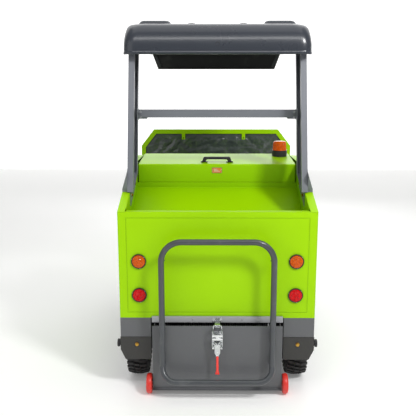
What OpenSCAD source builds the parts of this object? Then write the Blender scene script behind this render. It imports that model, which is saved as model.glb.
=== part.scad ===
// Ride-on sweeper: a battery machine with a driver's seat, a canopy on two posts,
// an open tub behind the hood and a dust bin that rolls out at the rear.
// Millimetres. +Z is up and +Y points to the front of the machine.

/* [Rear body] */
// Width of the rear body
body_w = 1100; // [920:10:1320]
// Height of the rear rim above the floor
rim_z = 1050; // [900:10:1200]
// Width of the rim flange round the tub
rim_w = 42; // [34:1:52]
// Slope of the side rims in degrees
rim_slope = 20; // [15:1:24]
// Slope of the tub floor in degrees
tub_slope = 22; // [15:1:26]
// Distance from the rear face to the hood
hood_y = 573; // [540:1:620]
// Thickness of the sheet metal panels
sheet = 3; // [2:0.5:4]
// Height of the grey skirt band
band_h = 115; // [95:1:130]
// Height of the dark bumper under the band
bumper_h = 137; // [110:1:150]
// Diameter of a tail lamp
lamp_d = 83; // [70:1:100]

/* [Hood] */
// Length of the hood lid
hood_len = 395; // [360:1:480]
// Height of the hood's rear face
hood_h = 114; // [95:1:130]
// Width of the bridge handle
hood_grip_w = 190; // [160:1:240]
// Diameter of the beacon
beacon_d = 100; // [80:1:120]

/* [Canopy] */
// Height of the rear lip's lower edge
canopy_z = 1905; // [1800:5:2000]
// How far the canopy reaches past the rear body on each side
canopy_margin = 0; // [-20:5:40]
// Length of the canopy
canopy_len = 1170; // [1000:10:1300]
// Height of the canopy's crown above its lip
canopy_h = 180; // [150:1:215]
// Lean of the posts in degrees
post_lean = 14.7; // [10:0.1:18]
// Depth of a post, front to back
post_d = 209; // [175:1:250]
// Width of a post, side to side
post_w = 35; // [29:1:42]
// Height of the crossbar's centre
crossbar_z = 1564; // [1450:1:1650]

/* [Cab] */
// Distance from the hood to the front shield
cab_len = 732; // [700:1:880]
// Width of the front shield and cowl
cowl_w = 1220; // [1100:10:1320]
// Height of the front shield
shield_z = 1389; // [1300:1:1450]
// Length of the nose in front of the shield
nose_len = 150; // [120:1:180]
// Diameter of the steering wheel
wheel_d = 360; // [320:1:400]
// Width of the seat
seat_w = 460; // [400:5:550]

/* [Wheels] */
// Diameter of a rear tyre
tyre_d = 400; // [360:1:440]
// Width of a rear tyre
tyre_w = 120; // [100:1:140]
// Diameter of the front tyre
front_tyre_d = 360; // [320:1:380]
// Radius of a wheel axle
axle_r = 12; // [10:0.5:15]

/* [Bin] */
// Length of the dust bin
bin_len = 540; // [450:1:600]
// Diameter of a red bin wheel
bin_wheel_d = 116; // [97:1:130]
// Width of a red bin wheel
bin_wheel_w = 36; // [30:1:40]
// Diameter of the handle tube
tube_d = 33; // [27:1:40]
// Height of the handle's top bar
handle_z = 905; // [760:5:1000]
// Centreline radius of the handle's upper corners
handle_bend_r = 110; // [90:1:130]
// Length of the latch lever from its pivot to its end
lever_len = 174; // [145:1:180]

/* [Brushes] */
// Diameter of the main broom
broom_d = 350; // [290:1:380]
// Diameter of a side brush
brush_d = 430; // [360:1:480]

/* [Hidden] */
$fn = 48;
fit = 0.3;           // gap between pieces that are fastened together
running = 0.05;      // radial clearance of a shaft in its bore
clear = 5;           // gap round what moves freely

// Rows across the machine, from the side inwards
hw = body_w / 2;
tyre_out = hw - 20;
tyre_in = tyre_out - tyre_w;
rail_w = 28;
rail_out = tyre_in - 6;
rail_in = rail_out - rail_w;
bin_hw = rail_in - 11;
strip_hw = bin_hw + 5;
tub_hw = hw - rim_w - fit;
liner_in = tub_hw - sheet;
hood_hw = liner_in - 6;
cowl_hw = cowl_w / 2;
canopy_w = body_w + 2 * canopy_margin;

// Heights
arch_gap = 39;
panel_z = tyre_d + arch_gap;
rail_h = 56;
rail_z = panel_z - rail_h;
band_z = panel_z - band_h;
bumper_z = band_z - bumper_h;
bin_top = panel_z - 29;
strip_z = bin_top + 5;
strip_h = 35;
deck_z = strip_z + strip_h + fit;
top_z = rim_z + hood_y * tan(rim_slope);
hood_z = top_z - 16;
seam_z = hood_z - hood_h;
fold_z = seam_z - 35;
floor_z = panel_z + 36;
seat_z = floor_z + 290;

// Stations along the machine, from the rear face forwards
rear_axle_y = 240;
hood_front_y = hood_y + hood_len;
bulkhead_y = hood_front_y + 18;
shield_y = hood_front_y + cab_len;
front_y = shield_y + nose_len;
front_axle_y = shield_y - 250;
brush_y = shield_y - 100;
arm_y = shield_y - 410;
bin_y = -50;
bin_front_y = bin_y + bin_len;
broom_y = bin_front_y + clear * 12 + broom_d / 2;

// Dust bin and its handle
bin_floor_z = 96;
bin_wall = 3;
apron_z = 30;
tube_r = tube_d / 2;
handle_hw = bin_hw - 60;
handle_y = bin_y - 33 - tube_r;
mitre_z = 198;
kink_r = 20;
foot_tilt = 33;
foot_bend_r = 80;
foot_drop = 82;
kink_y = handle_y - kink_r * (1 - cos(foot_tilt));
kink_z = mitre_z - kink_r * sin(foot_tilt);
foot_y = kink_y - foot_drop * sin(foot_tilt);
foot_z = kink_z - foot_drop * cos(foot_tilt);
rear_y = foot_y - tube_r;
bin_wheel_x = bin_hw + 3 + bin_wheel_w / 2;
bin_wheel_y = bin_y - 6;
bin_axle_r = 6;
caster_x = bin_hw - 80;
caster_y = bin_front_y - 85;
caster_d = 64;
caster_w = 24;

// Latch between the bin and the body
latch_y = bin_y - 34;
latch_z = bin_top - 92;
latch_rod_x = 22;
latch_rod_r = 3.5;
crank_y = -12;
crank_z = -20;
keeper_z = strip_z + 10;

// Posts
post_x = hw - 30 - post_w;
post_y = 200;
post_z = rim_z + (post_y + 40) * tan(rim_slope) + 20;
post_top_z = canopy_z + 64;
canopy_y = post_y + (canopy_z - post_z) * tan(post_lean) - 62;
canopy_front_y = canopy_y + canopy_len;
crossbar_y = post_y + (crossbar_z - post_z) * tan(post_lean) + post_d * 0.8;

// Cab
console_y = shield_y - 105;
console_top_z = floor_z + 450;
steer_tilt = 30;
steer_len = 185;
stem_r = 20;
seat_y = bulkhead_y + 72;
seat_d = 410;

// Side brushes
brush_x = rail_out + 96;
brush_z = 3;
brush_h = 118;
arm_x = rail_out + 3;
arm_w = 30;
arm_pin_r = 8;
arm_pin_z = rail_z - 24;
motor_r = 52;

origin_y = -(front_y + rear_y) / 2;

green = "#A0D815";
grey = "#5A5B5D";
dark = "#2E2E30";
black = "#1C1C1E";
steel = "#8A8D94";
silver = "#C8CACC";
slate = "#3A3F47";
red = "#E8433A";

// ---- Shape helpers ----

function unit(v) = v / norm(v);

// Height of the side rim over a station y
function rim(y) = rim_z + min(y, hood_y) * tan(rim_slope);

// Height of the tub floor over a station y
function tub_floor(y) = fold_z - (hood_y - y) * tan(tub_slope);

// Corner p between a and b, rounded with radius r in n steps
function corner(a, p, b, r, n = 6) =
    r <= 0 ? [p] :
    let (u = unit(a - p), v = unit(b - p), half = acos(u * v) / 2,
         c = p + unit(u + v) * r / sin(half),
         s = p + u * r / tan(half) - c,
         e = p + v * r / tan(half) - c,
         a0 = atan2(s.y, s.x),
         turn = atan2(s.x * e.y - s.y * e.x, s * e))
    [for (k = [0 : n]) c + r * [cos(a0 + turn * k / n), sin(a0 + turn * k / n)]];

// Outline through points [x, y, radius]
function rounded(pts) = [
    for (i = [0 : len(pts) - 1])
        let (m = len(pts), a = pts[(i + m - 1) % m], p = pts[i], b = pts[(i + 1) % m])
        each corner([a.x, a.y], [p.x, p.y], [b.x, b.y], p.z)];

// Counter-clockwise outline moved inwards by d
function inset(pts, d) = [
    for (i = [0 : len(pts) - 1])
        let (m = len(pts), a = pts[(i + m - 1) % m], p = pts[i], b = pts[(i + 1) % m],
             u = unit(p - a), v = unit(b - p),
             n1 = [-u.y, u.x], n2 = [-v.y, v.x])
        p + d * (n1 + n2) / (1 + n1 * n2)];

// Outline with its points mirrored to both sides of the middle plane
function both_sides(pts) = concat(pts, [for (i = [len(pts) - 1 : -1 : 0]) [-pts[i].x, pts[i].y]]);

// Rounded rectangle outline
function rounded_box(w, h, r) =
    rounded([[w / 2, -h / 2, r], [w / 2, h / 2, r], [-w / 2, h / 2, r], [-w / 2, -h / 2, r]]);

// Moves the drawing from the rear face to the centre of the whole machine
module placed() { translate([0, origin_y, 0]) children(); }

// The right-hand piece and its mirror image
module pair() { for (s = [0, 1]) mirror([s, 0, 0]) children(); }

// Block between two opposite corners
module block(a, b) { translate(a) cube(b - a); }

// Outline in the Y-Z plane, extruded from x0 to x1
module along_x(x0, x1, pts) {
    translate([x0, 0, 0]) rotate([90, 0, 90]) linear_extrude(x1 - x0) polygon(pts);
}

// Outline in the X-Z plane, extruded from y0 to y1
module along_y(y0, y1, pts) {
    translate([0, y1, 0]) rotate([90, 0, 0]) linear_extrude(y1 - y0) polygon(pts);
}

// Outline in the X-Y plane, extruded from z0 to z1
module along_z(z0, z1, pts) { translate([0, 0, z0]) linear_extrude(z1 - z0) polygon(pts); }

// Rods along the three axes
module rod_x(x0, x1, r, y, z) { translate([x0, y, z]) rotate([0, 90, 0]) cylinder(h = x1 - x0, r = r); }
module rod_y(y0, y1, r, x, z) { translate([x, y1, z]) rotate([90, 0, 0]) cylinder(h = y1 - y0, r = r); }

// Hollow block with walls of one thickness, open at both ends along its length
module tube_x(x0, x1, y, z, d, h, wall) {
    difference() {
        block([x0, y - d / 2, z - h / 2], [x1, y + d / 2, z + h / 2]);
        block([x0 - 1, y - d / 2 + wall, z - h / 2 + wall], [x1 + 1, y + d / 2 - wall, z + h / 2 - wall]);
    }
}

// Quarter of a bent rod in the X-Z plane, from +X round to +Z
module elbow(bend_r, r, angle = 90) {
    rotate([90, 0, 0]) rotate_extrude(angle = angle) translate([bend_r, 0]) circle(r);
}

// ---- Chassis ----

module chassis_frame() placed() color(dark) {
    difference() {
        union() {
            pair() block([rail_in, 20, rail_z], [rail_out, shield_y - 6, panel_z]);
            for (y = [bin_front_y + clear, bulkhead_y, shield_y - 70])
                block([-rail_in, y, rail_z], [rail_in, y + 40, panel_z]);
            block([-rail_in, front_axle_y - 60, rail_z + 20], [rail_in, front_axle_y + 60, panel_z]);
            pair() block([rail_in, arm_y - 30, arm_pin_z - 22], [rail_out, arm_y + 30, rail_z]);
            pair() block([rail_in, rear_axle_y - 40, tyre_d / 2 - 34],
                         [rail_out, rear_axle_y + 40, rail_z]);
            pair() rod_x(rail_out - 1, arm_x + arm_w + 6, arm_pin_r, arm_y, arm_pin_z);
            pair() rod_x(rail_out - 1, tyre_in + tyre_w * 0.75, axle_r, rear_axle_y, tyre_d / 2);
            tow_lug();
        }
        translate([0, front_axle_y, rail_z]) cylinder(h = rail_h + 2, r = stem_r + running);
        translate([0, tow_y, tow_z - tow_lug_h]) cylinder(h = 2 * tow_lug_h, r = tow_hole_r);
    }
}

tow_lug_h = 12;
tow_lug_r = 28;
tow_hole_r = 13;
tow_y = shield_y + 40;
tow_z = rail_z + 28;

// Flat tow tongue with its hole upright, on a plate under the front of the rails
module tow_lug() {
    block([-tow_lug_r, shield_y - 31, tow_z - tow_lug_h / 2], [tow_lug_r, tow_y, tow_z + tow_lug_h / 2]);
    translate([0, tow_y, tow_z - tow_lug_h / 2]) cylinder(h = tow_lug_h, r = tow_lug_r);
    block([-60, shield_y - 31, rail_z], [60, shield_y - 6, panel_z]);
}

module deck_plate() placed() color(dark) {
    block([-hw + sheet + fit, sheet + fit, deck_z], [hw - sheet - fit, bulkhead_y - fit, deck_z + 5]);
    pair() block([rail_in + 2, 24, panel_z + fit], [rail_out - 2, bulkhead_y - 30, deck_z]);
}

module broom_housing() placed() color(dark) {
    housing_x = bin_hw + 2;
    housing_r = broom_d / 2 + 14;
    axis_z = broom_d / 2 + 1;
    difference() {
        union() {
            pair() block([housing_x - 6, broom_y - housing_r, axis_z - 60],
                         [housing_x, broom_y + housing_r, rail_z + 30]);
            block([-housing_x, broom_y + housing_r - 4, 60], [housing_x, broom_y + housing_r, rail_z + 30]);
            block([-housing_x, broom_y - housing_r, rail_z + 26], [housing_x, broom_y + housing_r, rail_z + 30]);
        }
        rod_x(-housing_x - 1, housing_x + 1, axle_r + running, broom_y, axis_z);
    }
    pair() block([housing_x, broom_y - 60, rail_z + 4], [rail_in, broom_y + 60, rail_z + 30]);
}

// ---- Rear body ----

side_outline = [
    [0, panel_z], [bulkhead_y + 44, panel_z], [bulkhead_y + 44, panel_z + 240],
    [bulkhead_y + 12, top_z - 60], [bulkhead_y - 22, top_z], [hood_y, top_z], [0, rim_z]
];

module side_panels() placed() color(green) pair() difference() {
    along_x(hw - rim_w, hw, side_outline);
    translate([0, 0, -sheet]) along_x(hw - rim_w - 1, hw - sheet,
        [for (p = side_outline) [p.x == 0 ? -1 : p.x, p.y < panel_z + 1 ? p.y - 1 : p.y]]);
}

seam_side = 48;
seam_edge = 36;
seam_w = 4;
seam_depth = 1.5;

module rear_panel() placed() color(green) {
    frame_a = [[hw - seam_side, panel_z + seam_edge], [hw - seam_side, rim_z - seam_edge]];
    difference() {
        union() {
            block([-hw + sheet + fit, 0, panel_z], [hw - sheet - fit, sheet, rim_z - sheet - fit]);
            block([-hw + rim_w + fit, 0, panel_z], [hw - rim_w - fit, sheet, rim_z]);
            block([-hw + rim_w + fit, 0, rim_z - sheet], [hw - rim_w - fit, rim_w, rim_z]);
        }
        difference() {
            along_y(-1, seam_depth, inset(both_sides(frame_a), -seam_w));
            along_y(-2, seam_depth + 1, both_sides(frame_a));
        }
        pair() for (z = lamp_rows) rod_y(-1, sheet + 1, lamp_d / 2 - 8, lamp_x, z);
    }
}

lamp_x = hw - 112;
lamp_rows = [panel_z + 135, panel_z + 331];
lamp_bulge = 10;

module tub_liner() placed() color(green) {
    back_y = rim_w + fit;
    front_y0 = hood_y - 1;
    pair() along_x(liner_in, tub_hw, [
        [back_y, tub_floor(back_y) - sheet], [front_y0, fold_z - sheet],
        [front_y0, rim(front_y0)], [back_y, rim(back_y)]]);
    along_x(-tub_hw, tub_hw, [
        [back_y, rim_z], [back_y, tub_floor(back_y) - sheet], [front_y0, fold_z - sheet],
        [front_y0, seam_z - 1], [front_y0 - sheet, seam_z - 1], [front_y0 - sheet, fold_z],
        [back_y + sheet, tub_floor(back_y + sheet)], [back_y + sheet, rim_z]]);
}

module bulkhead() placed() color(green) {
    block([-hood_hw, bulkhead_y, floor_z + 8], [hood_hw, bulkhead_y + sheet, hinge_z - 14]);
    pair() block([hood_hw, bulkhead_y, floor_z + 8], [hw - sheet - fit, bulkhead_y + sheet, seam_z]);
    pair() for (x = [hinge_x - hinge_w, hinge_x + hinge_w]) {
        block([x - 5, hinge_y - 4, hinge_z - 40], [x + 5, bulkhead_y + sheet, hinge_z - 8]);
        rod_x(x - 5, x + 5, 10, hinge_y, hinge_z);
        block([x - 5, hinge_y - 4, hinge_z - 40], [x + 5, hinge_y + 10, hinge_z]);
    }
    pair() rod_x(hinge_x - hinge_w, hinge_x + hinge_w, hinge_pin_r, hinge_y, hinge_z);
}

hinge_x = 300;
hinge_w = 34;
hinge_pin_r = 4;
hinge_y = hood_front_y + 8;
hinge_z = hood_z - 34;

// ---- Skirts and bumpers ----

module skirts() placed() color(grey) pair() {
    rear = rounded([[strip_hw + 6, band_z, 0], [hw, band_z, 0], [hw, panel_z - fit, 0], [strip_hw + 6, panel_z - fit, 0]]);
    difference() {
        union() {
            along_y(0, sheet, rear);
            block([hw - sheet, 0, bumper_z + 30], [hw, bulkhead_y + 44, panel_z - fit]);
        }
        rod_x(hw - 20, hw + 1, tyre_d / 2 + 22, rear_axle_y, tyre_d / 2);
        block([hw - 20, -1, bumper_z - 1], [hw + 1, bumper_side, band_z]);
    }
    block([rail_out + fit, 4, panel_z - 60], [hw - sheet, 22, panel_z - 40]);
}

bumper_side = 38;
bumper_chamfer = 26;

module bumpers() placed() color("#3F3E3C") pair() difference() {
    along_y(-2, bumper_side - fit, rounded([
        [strip_hw + 6, bumper_z, 4], [hw - bumper_chamfer, bumper_z, 10],
        [hw + 2, bumper_z + 60, 8], [hw + 2, band_z - fit, 0], [strip_hw + 6, band_z - fit, 0]]));
    along_y(4, bumper_side + 1, [
        [strip_hw, bumper_z - 1], [hw - bumper_chamfer - 2, bumper_z - 1],
        [hw - 4, bumper_z + 60], [hw - 4, band_z + 1], [strip_hw, band_z + 1]]);
    rod_y(-3, 8, 5, bolt_x, bolt_z);
}

bolt_x = hw - 92;
bolt_z = band_z - 44;
bolt_r = 9.5;

// Hexagon bolt whose head looks along -Y
module bolt(r, head) {
    rotate([90, 0, 0]) cylinder(h = head, r = r, $fn = 6);
    rotate([90, 0, 0]) translate([0, 0, -1.5]) cylinder(h = 1.5, r = r * 1.15);
}

module bolts() placed() color("#B08D45") {
    pair() translate([bolt_x, -2 - fit - 1.5, bolt_z]) bolt(bolt_r, 8);
    pair() for (p = post_bolt_places) translate([liner_in - tab_t - 2 * fit - 1.5, p.x, p.y]) rotate([0, 0, -90]) bolt(9, 7);
}

module side_knobs() placed() color(black) pair() {
    x = hw + 2 + fit;
    rod_x(x, x + 6, 15, bumper_side / 2, bolt_z);
    rod_x(x + 6, x + 18, 22, bumper_side / 2, bolt_z);
}

module header_strip() placed() color("#A5A7AA") {
    difference() {
        block([-strip_hw, -12, strip_z], [strip_hw, -fit, strip_z + strip_h]);
        block([-strip_hw + 3, -9, strip_z - 1], [strip_hw - 3, 1, strip_z + strip_h - 3]);
    }
}

module latch_keeper() placed() color(silver) {
    block([-26, -15 - fit, keeper_z - 6], [26, -12 - fit, keeper_z + 18]);
    block([-14, latch_y + crank_y - 8, keeper_z], [14, -12 - fit, keeper_z + 4]);
}

// ---- Tail lamps ----

module tail_lamp_bezels() placed() color(black) pair() for (z = lamp_rows)
    translate([lamp_x, -fit, z]) rotate([90, 0, 0]) difference() {
        cylinder(h = 8, r = lamp_d / 2);
        translate([0, 0, -1]) cylinder(h = 10, r = lamp_d / 2 - 5);
    }

module lens(z) {
    translate([lamp_x, 0, z]) rotate([90, 0, 0]) rotate_extrude() polygon([
        [0, 0], [lamp_d / 2 - 8.3, 0], [lamp_d / 2 - 8.3, fit], [lamp_d / 2 - 5 - fit, fit],
        [lamp_d / 2 - 5 - fit, 7],
        for (a = [70 : -10 : 0]) [(lamp_d / 2 - 7) * sin(a), 7 + lamp_bulge * cos(a) - lamp_bulge * cos(70)]]);
}

module amber_lenses() placed() color("#E8761A") pair() lens(lamp_rows[1]);
module red_lenses() placed() color("#E00012") pair() lens(lamp_rows[0]);

// ---- Under the tub and the hood ----

module filter_box() placed() color(grey) {
    x = liner_in - 160;
    z = deck_z + 5 + fit;
    top = tub_floor(70) - 60;
    difference() {
        block([-x, 70, z], [x, bin_front_y - 40, top]);
        block([-x + sheet, 70 + sheet, z - 1], [x - sheet, bin_front_y - 40 - sheet, top - sheet]);
    }
    block([-90, bin_front_y - 40 + fit, z], [90, bin_front_y + 20, z + 180]);
}

module battery_pack() placed() color(black) {
    z = deck_z + 5 + fit;
    gap = 8;
    w = (2 * liner_in - 200) / 4;
    for (i = [0 : 3]) for (j = [0, 1])
        block([-2 * w + i * w + gap / 2, hood_y + 20 + j * 180, z],
              [-2 * w + (i + 1) * w - gap / 2, hood_y + 20 + j * 180 + 172, z + 280]);
    block([-2 * w, hood_y + 20, z + 280], [2 * w, hood_y + 372, z + 292]);
}

// ---- Hood ----

lid_outline = [
    [hood_y + fit, seam_z], [hood_front_y, seam_z], [hood_front_y, hood_z + 26],
    [hood_front_y - 60, hood_z + 24], [hood_y + 6, hood_z], [hood_y + fit, hood_z - 6]
];

module hood_lid() placed() color(green) {
    difference() {
        along_x(-hood_hw, hood_hw, lid_outline);
        along_x(-hood_hw + sheet, hood_hw - sheet, [
            [hood_y + fit + sheet, seam_z - 1], [hood_front_y - sheet, seam_z - 1],
            [hood_front_y - sheet, hood_z + 22], [hood_y + 6 + sheet, hood_z - sheet]]);
        pair() block([hinge_x - hinge_w - 8, hood_front_y - 16, seam_z - 1],
                     [hinge_x + hinge_w + 8, hood_front_y + 1, hinge_z + 14]);
    }
    pair() difference() {
        union() {
            rod_x(hinge_x - 20, hinge_x + 20, 9, hinge_y, hinge_z);
            block([hinge_x - 20, hood_front_y - 40, hinge_z - 2], [hinge_x + 20, hinge_y, hinge_z + 8]);
            block([hinge_x - 20, hood_front_y - 40, hinge_z - 2], [hinge_x + 20, hood_front_y - 34, hood_z + 22]);
        }
        rod_x(hinge_x - 21, hinge_x + 21, hinge_pin_r + running, hinge_y, hinge_z);
    }
}

grip_y = hood_y + 66;

// Height of the lid's top over a station y
function lid_top(y) = hood_z + (y - hood_y - 6) * 24 / (hood_len - 66);

module hood_grip() placed() color(black) {
    z = lid_top(grip_y + 14) + fit + 4;
    half = hood_grip_w / 2;
    drop = 30;
    along_y(grip_y - 8, grip_y + 8, rounded([
        [half, z, 2], [half - 10, z + drop, 14], [-half + 10, z + drop, 14], [-half, z, 2],
        [-half + 22, z, 2], [-half + 30, z + drop - 16, 6], [half - 30, z + drop - 16, 6],
        [half - 22, z, 2]]));
    pair() block([half - 34, grip_y - 14, z - 4], [half + 8, grip_y + 14, z]);
}

label_w = 62;
label_h = 34;
label_z = hood_z - 56;

module hood_label() placed() color("#D9531E")
    block([-label_w / 2, hood_y - 1.5, label_z], [label_w / 2, hood_y, label_z + label_h]);

beacon_x = hood_hw - 71;
beacon_y = hood_front_y - 100;
beacon_base_h = 39;
beacon_lens_h = 62;

module beacon_base() placed() color(black) difference() {
    translate([beacon_x, beacon_y, hood_z - 10])
        cylinder(h = beacon_base_h + 10 + lid_top(beacon_y) - hood_z, r = beacon_d / 2);
    translate([0, 0, fit]) along_x(-hood_hw, hood_hw + 50, lid_outline);
}

module beacon_lens() placed() color("#D9630A")
    translate([beacon_x, beacon_y, lid_top(beacon_y) + beacon_base_h + fit]) rotate_extrude() polygon([
        [0, 0], [beacon_d / 2 - 4, 0], for (i = [0 : 6]) let (z = 4 + i * 8)
            each [[beacon_d / 2 - 5 - i * 0.6, z], [beacon_d / 2 - 3 - i * 0.6, z + 4]],
        [beacon_d / 2 - 16, beacon_lens_h], [0, beacon_lens_h]]);

// ---- Posts and canopy ----

foot_y0 = post_y + 8;
foot_len = post_d + 14;
foot_t = 8;
tab_t = 3;
tab_h = 84;
lip = 28;
channel_t = 4;
post_bolt_places = [for (y = [foot_y0 + 45, foot_y0 + foot_len - 45]) [y, rim(y) - 42]];

channel = [
    [0, 0], [post_w, 0], [post_w, post_d], [0, post_d], [0, post_d - lip],
    [channel_t, post_d - lip], [channel_t, post_d - channel_t],
    [post_w - channel_t, post_d - channel_t], [post_w - channel_t, channel_t],
    [channel_t, channel_t], [channel_t, lip], [0, lip]
];

// Band that follows the sloping rim from y0 to y1, between two heights above it
function rim_band(y0, y1, low, high) =
    [[y0, rim(y0) + low], [y1, rim(y1) + low], [y1, rim(y1) + high], [y0, rim(y0) + high]];

module posts() placed() color(steel) pair() {
    difference() {
        translate([post_x, post_y, post_z]) rotate([-post_lean, 0, 0])
            translate([0, 0, -160]) linear_extrude(post_top_z - post_z + 400) polygon(channel);
        block([0, 0, post_top_z - fit], [hw, hood_y + 600, post_top_z + 400]);
        along_x(0, hw, [[0, 0], [hood_y, 0], [hood_y, rim(hood_y) + foot_t - 1], [0, rim_z + foot_t - 1]]);
    }
    along_x(liner_in - fit - tab_t, hw, rim_band(foot_y0, foot_y0 + foot_len, fit, foot_t));
    along_x(post_x, liner_in - fit, rim_band(foot_y0, foot_y0 + foot_len, fit, foot_t));
    along_x(liner_in - fit - tab_t, liner_in - fit,
        rim_band(foot_y0, foot_y0 + foot_len, -tab_h, foot_t));
    translate([0, foot_y0, rim(foot_y0) + foot_t - 0.5]) rotate([rim_slope, 0, 0])
        along_y(0, foot_len / cos(rim_slope), [
            [post_x + post_w - 1, 0], [hw, 0], [hw, 8], [post_x + post_w - 1, 100]]);
}

bar_w = 32;
bar_h = 48;

module crossbar() placed() color(steel) {
    tube_x(-post_x + fit + 4, post_x - fit - 4, crossbar_y, crossbar_z, bar_w, bar_h, 2.5);
    pair() {
        block([post_x - fit - 4, crossbar_y - 32, crossbar_z - 40], [post_x - fit, crossbar_y + 38, crossbar_z + 30]);
        block([post_x - 60, crossbar_y - 12, crossbar_z - bar_h / 2 - 8], [post_x - fit, crossbar_y + 12, crossbar_z - bar_h / 2]);
    }
}

frame_h = 30;
crown_z = canopy_z + canopy_h;
crossers = [canopy_y + 200, canopy_y + canopy_len / 2, canopy_front_y - 60];

module canopy_frame() placed() color(dark) {
    rail = [[post_x, canopy_y + 70], [post_x + post_w, canopy_y + 70], [post_x + post_w, canopy_front_y - 84],
            [post_x + 12, canopy_front_y - 40], [post_x, canopy_front_y - 40]];
    pair() along_z(post_top_z, post_top_z + frame_h, rail);
    for (y = crossers) block([-post_x, y, post_top_z], [post_x, y + 30, post_top_z + frame_h]);
    pair() for (y = [crossers[0], crossers[1]])
        block([post_x - 115, y + 4, post_top_z + frame_h], [post_x - 85, y + 26, crown_z - shell_t - 12]);
}

shell_t = 4;

// Canopy's solid form, drawn in by t from its outer face
module canopy_form(t) {
    y0 = canopy_y + t;
    y1 = canopy_front_y - t;
    x = canopy_w / 2 - t;
    z = crown_z - t;
    low = t > 0 ? 30 : 0;
    intersection() {
        along_x(-x, x, rounded([
            [y0, canopy_z - low, t > 0 ? 0 : 4], [y0 + 55 + low * 0.4, canopy_z - low, 8],
            [y0 + 150, canopy_z + 66 - low, 40], [y1 - 30, canopy_z + 84 - low, 20],
            [y1, canopy_z + 70 - low, t > 0 ? 0 : 4], [y1 - 8, z - 20, 60], [y1 - 150, z, 200],
            [y0 + 120, z, 200], [y0 + 10, z - 12, 52]]));
        along_y(y0 - 1, y1 + 1, rounded([
            [-x, canopy_z - 100, 0], [x, canopy_z - 100, 0], [x, z - 26, 60],
            [x - 150, z, 300], [-x + 150, z, 300], [-x, z - 26, 60]]));
        along_z(canopy_z - 100, z + 1, rounded([
            [-x, y0, 60], [x, y0, 60], [x - 20, y1, 110], [-x + 20, y1, 110]]));
    }
}

// Rib moulded on the roof: centre x, width and height
module roof_rib(x, w, h, y0, y1) {
    along_y(y0, y1, rounded([
        [x - w / 2, crown_z - 3, 0], [x + w / 2, crown_z - 3, 0],
        [x + w / 2 - 10, crown_z + h, 8], [x - w / 2 + 10, crown_z + h, 8]]));
}

module canopy_shell() placed() color(slate) {
    difference() {
        canopy_form(0);
        canopy_form(shell_t);
    }
    pair() {
        roof_rib(canopy_w * 0.34, 200, 25, canopy_y + 160, canopy_front_y - 170);
        roof_rib(155, 66, 12, canopy_y + 150, canopy_y + 210);
    }
}

visor_drop = 45;

module canopy_visor() placed() color(slate) {
    y = crossers[2] + 30 + fit;
    low = canopy_z - visor_drop;
    high = post_top_z + frame_h;
    edge = [[442, low], [482, canopy_z + 62], [482, high]];
    hang = both_sides(edge);
    along_y(y, y + 4, hang);
    pair() along_y(y - 9, y, [[442, low], [482, canopy_z + 62], [456, canopy_z + 62], [416, low]]);
    along_y(y - 9, y, [[-442, low], [442, low], [448, low + 16], [-448, low + 16]]);
}

// ---- Front shield and cowl ----

shield_low = floor_z + 14;
chamfer_z = 133;
chamfer_x = 104;
frame_w = 35;
shield_outline = both_sides([
    [cowl_hw, shield_low], [cowl_hw, shield_z - chamfer_z], [cowl_hw - chamfer_x, shield_z]]);

module front_shield() placed() color(green) {
    difference() {
        along_y(shield_y, shield_y + 22, shield_outline);
        along_y(shield_y - 1, shield_y + 23, inset(shield_outline, frame_w));
    }
    for (x = [-265, 225]) difference() {
        block([x - 14, shield_y, shield_z - frame_w - 46], [x + 14, shield_y + 3, shield_z - frame_w + 1]);
        rod_y(shield_y - 1, shield_y + 4, 5, x, shield_z - frame_w - 34);
    }
}

module shield_film() placed() color("#3E4744")
    along_y(shield_y + 8, shield_y + 11, inset(shield_outline, frame_w + fit));

// Cowl's solid form, drawn in by t from its outer face
module cowl_form(t) {
    y0 = shield_y + 22 + fit;
    y1 = front_y - 24 - t;
    x = cowl_hw - t;
    low = band_z;
    z = shield_z - t;
    intersection() {
        along_y(y0, y1 + 1, both_sides([[x, low - t], [x, z - chamfer_z], [x - chamfer_x, z]]));
        along_x(-x, x, rounded([
            [y0, low - t, 0], [y1 - 10, low - t, t > 0 ? 0 : 12], [y1, low + 200, 60],
            [y1 - 24, z - 200, 80], [y0 + 34, z, 26], [y0, z, 0]]));
        along_z(low - t, z + 1, rounded([[-x, y0, 0], [x, y0, 0], [x - 16, y1, 80], [-x + 16, y1, 80]]));
    }
}

module front_cowl() placed() color(green) {
    difference() {
        cowl_form(0);
        translate([0, -0.5, 0]) cowl_form(4);
    }
    difference() {
        along_z(band_z + 10, band_z + 90, rounded([
            [-cowl_hw + 12, front_y - 60, 0], [cowl_hw - 12, front_y - 60, 0],
            [cowl_hw - 40, front_y, 30], [-cowl_hw + 40, front_y, 30]]));
        translate([0, 0, -1]) cowl_form(0.01);
    }
}

// ---- Cab ----

module floor_pan() placed() color(dark) {
    y0 = bulkhead_y + sheet + fit;
    y1 = shield_y - fit;
    along_z(floor_z, floor_z + 6, [[-hw + 14, y0], [hw - 14, y0], [cowl_hw - 6, y1], [-cowl_hw + 6, y1]]);
    pair() along_z(floor_z - 110, floor_z, [
        [hw - 10, bulkhead_y + 46], [hw - 4, bulkhead_y + 46], [cowl_hw - 4, y1], [cowl_hw - 10, y1]]);
    for (y = [bulkhead_y + 8, shield_y - 60])
        block([-rail_out, y, panel_z + fit], [rail_out, y + 26, floor_z]);
    block([-cowl_hw + 20, y1 - 10, floor_z + 6], [cowl_hw - 20, y1, shield_low + 30]);
    for (x = [-pedal_x, pedal_x]) difference() {
        for (s = [-1, 1]) block([x + s * 42 - 4, pedal_y - 12, floor_z + 5], [x + s * 42 + 4, pedal_y + 12, pedal_z + 12]);
        rod_x(x - 60, x + 60, pedal_pin_r + running, pedal_y, pedal_z);
    }
}

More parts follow.
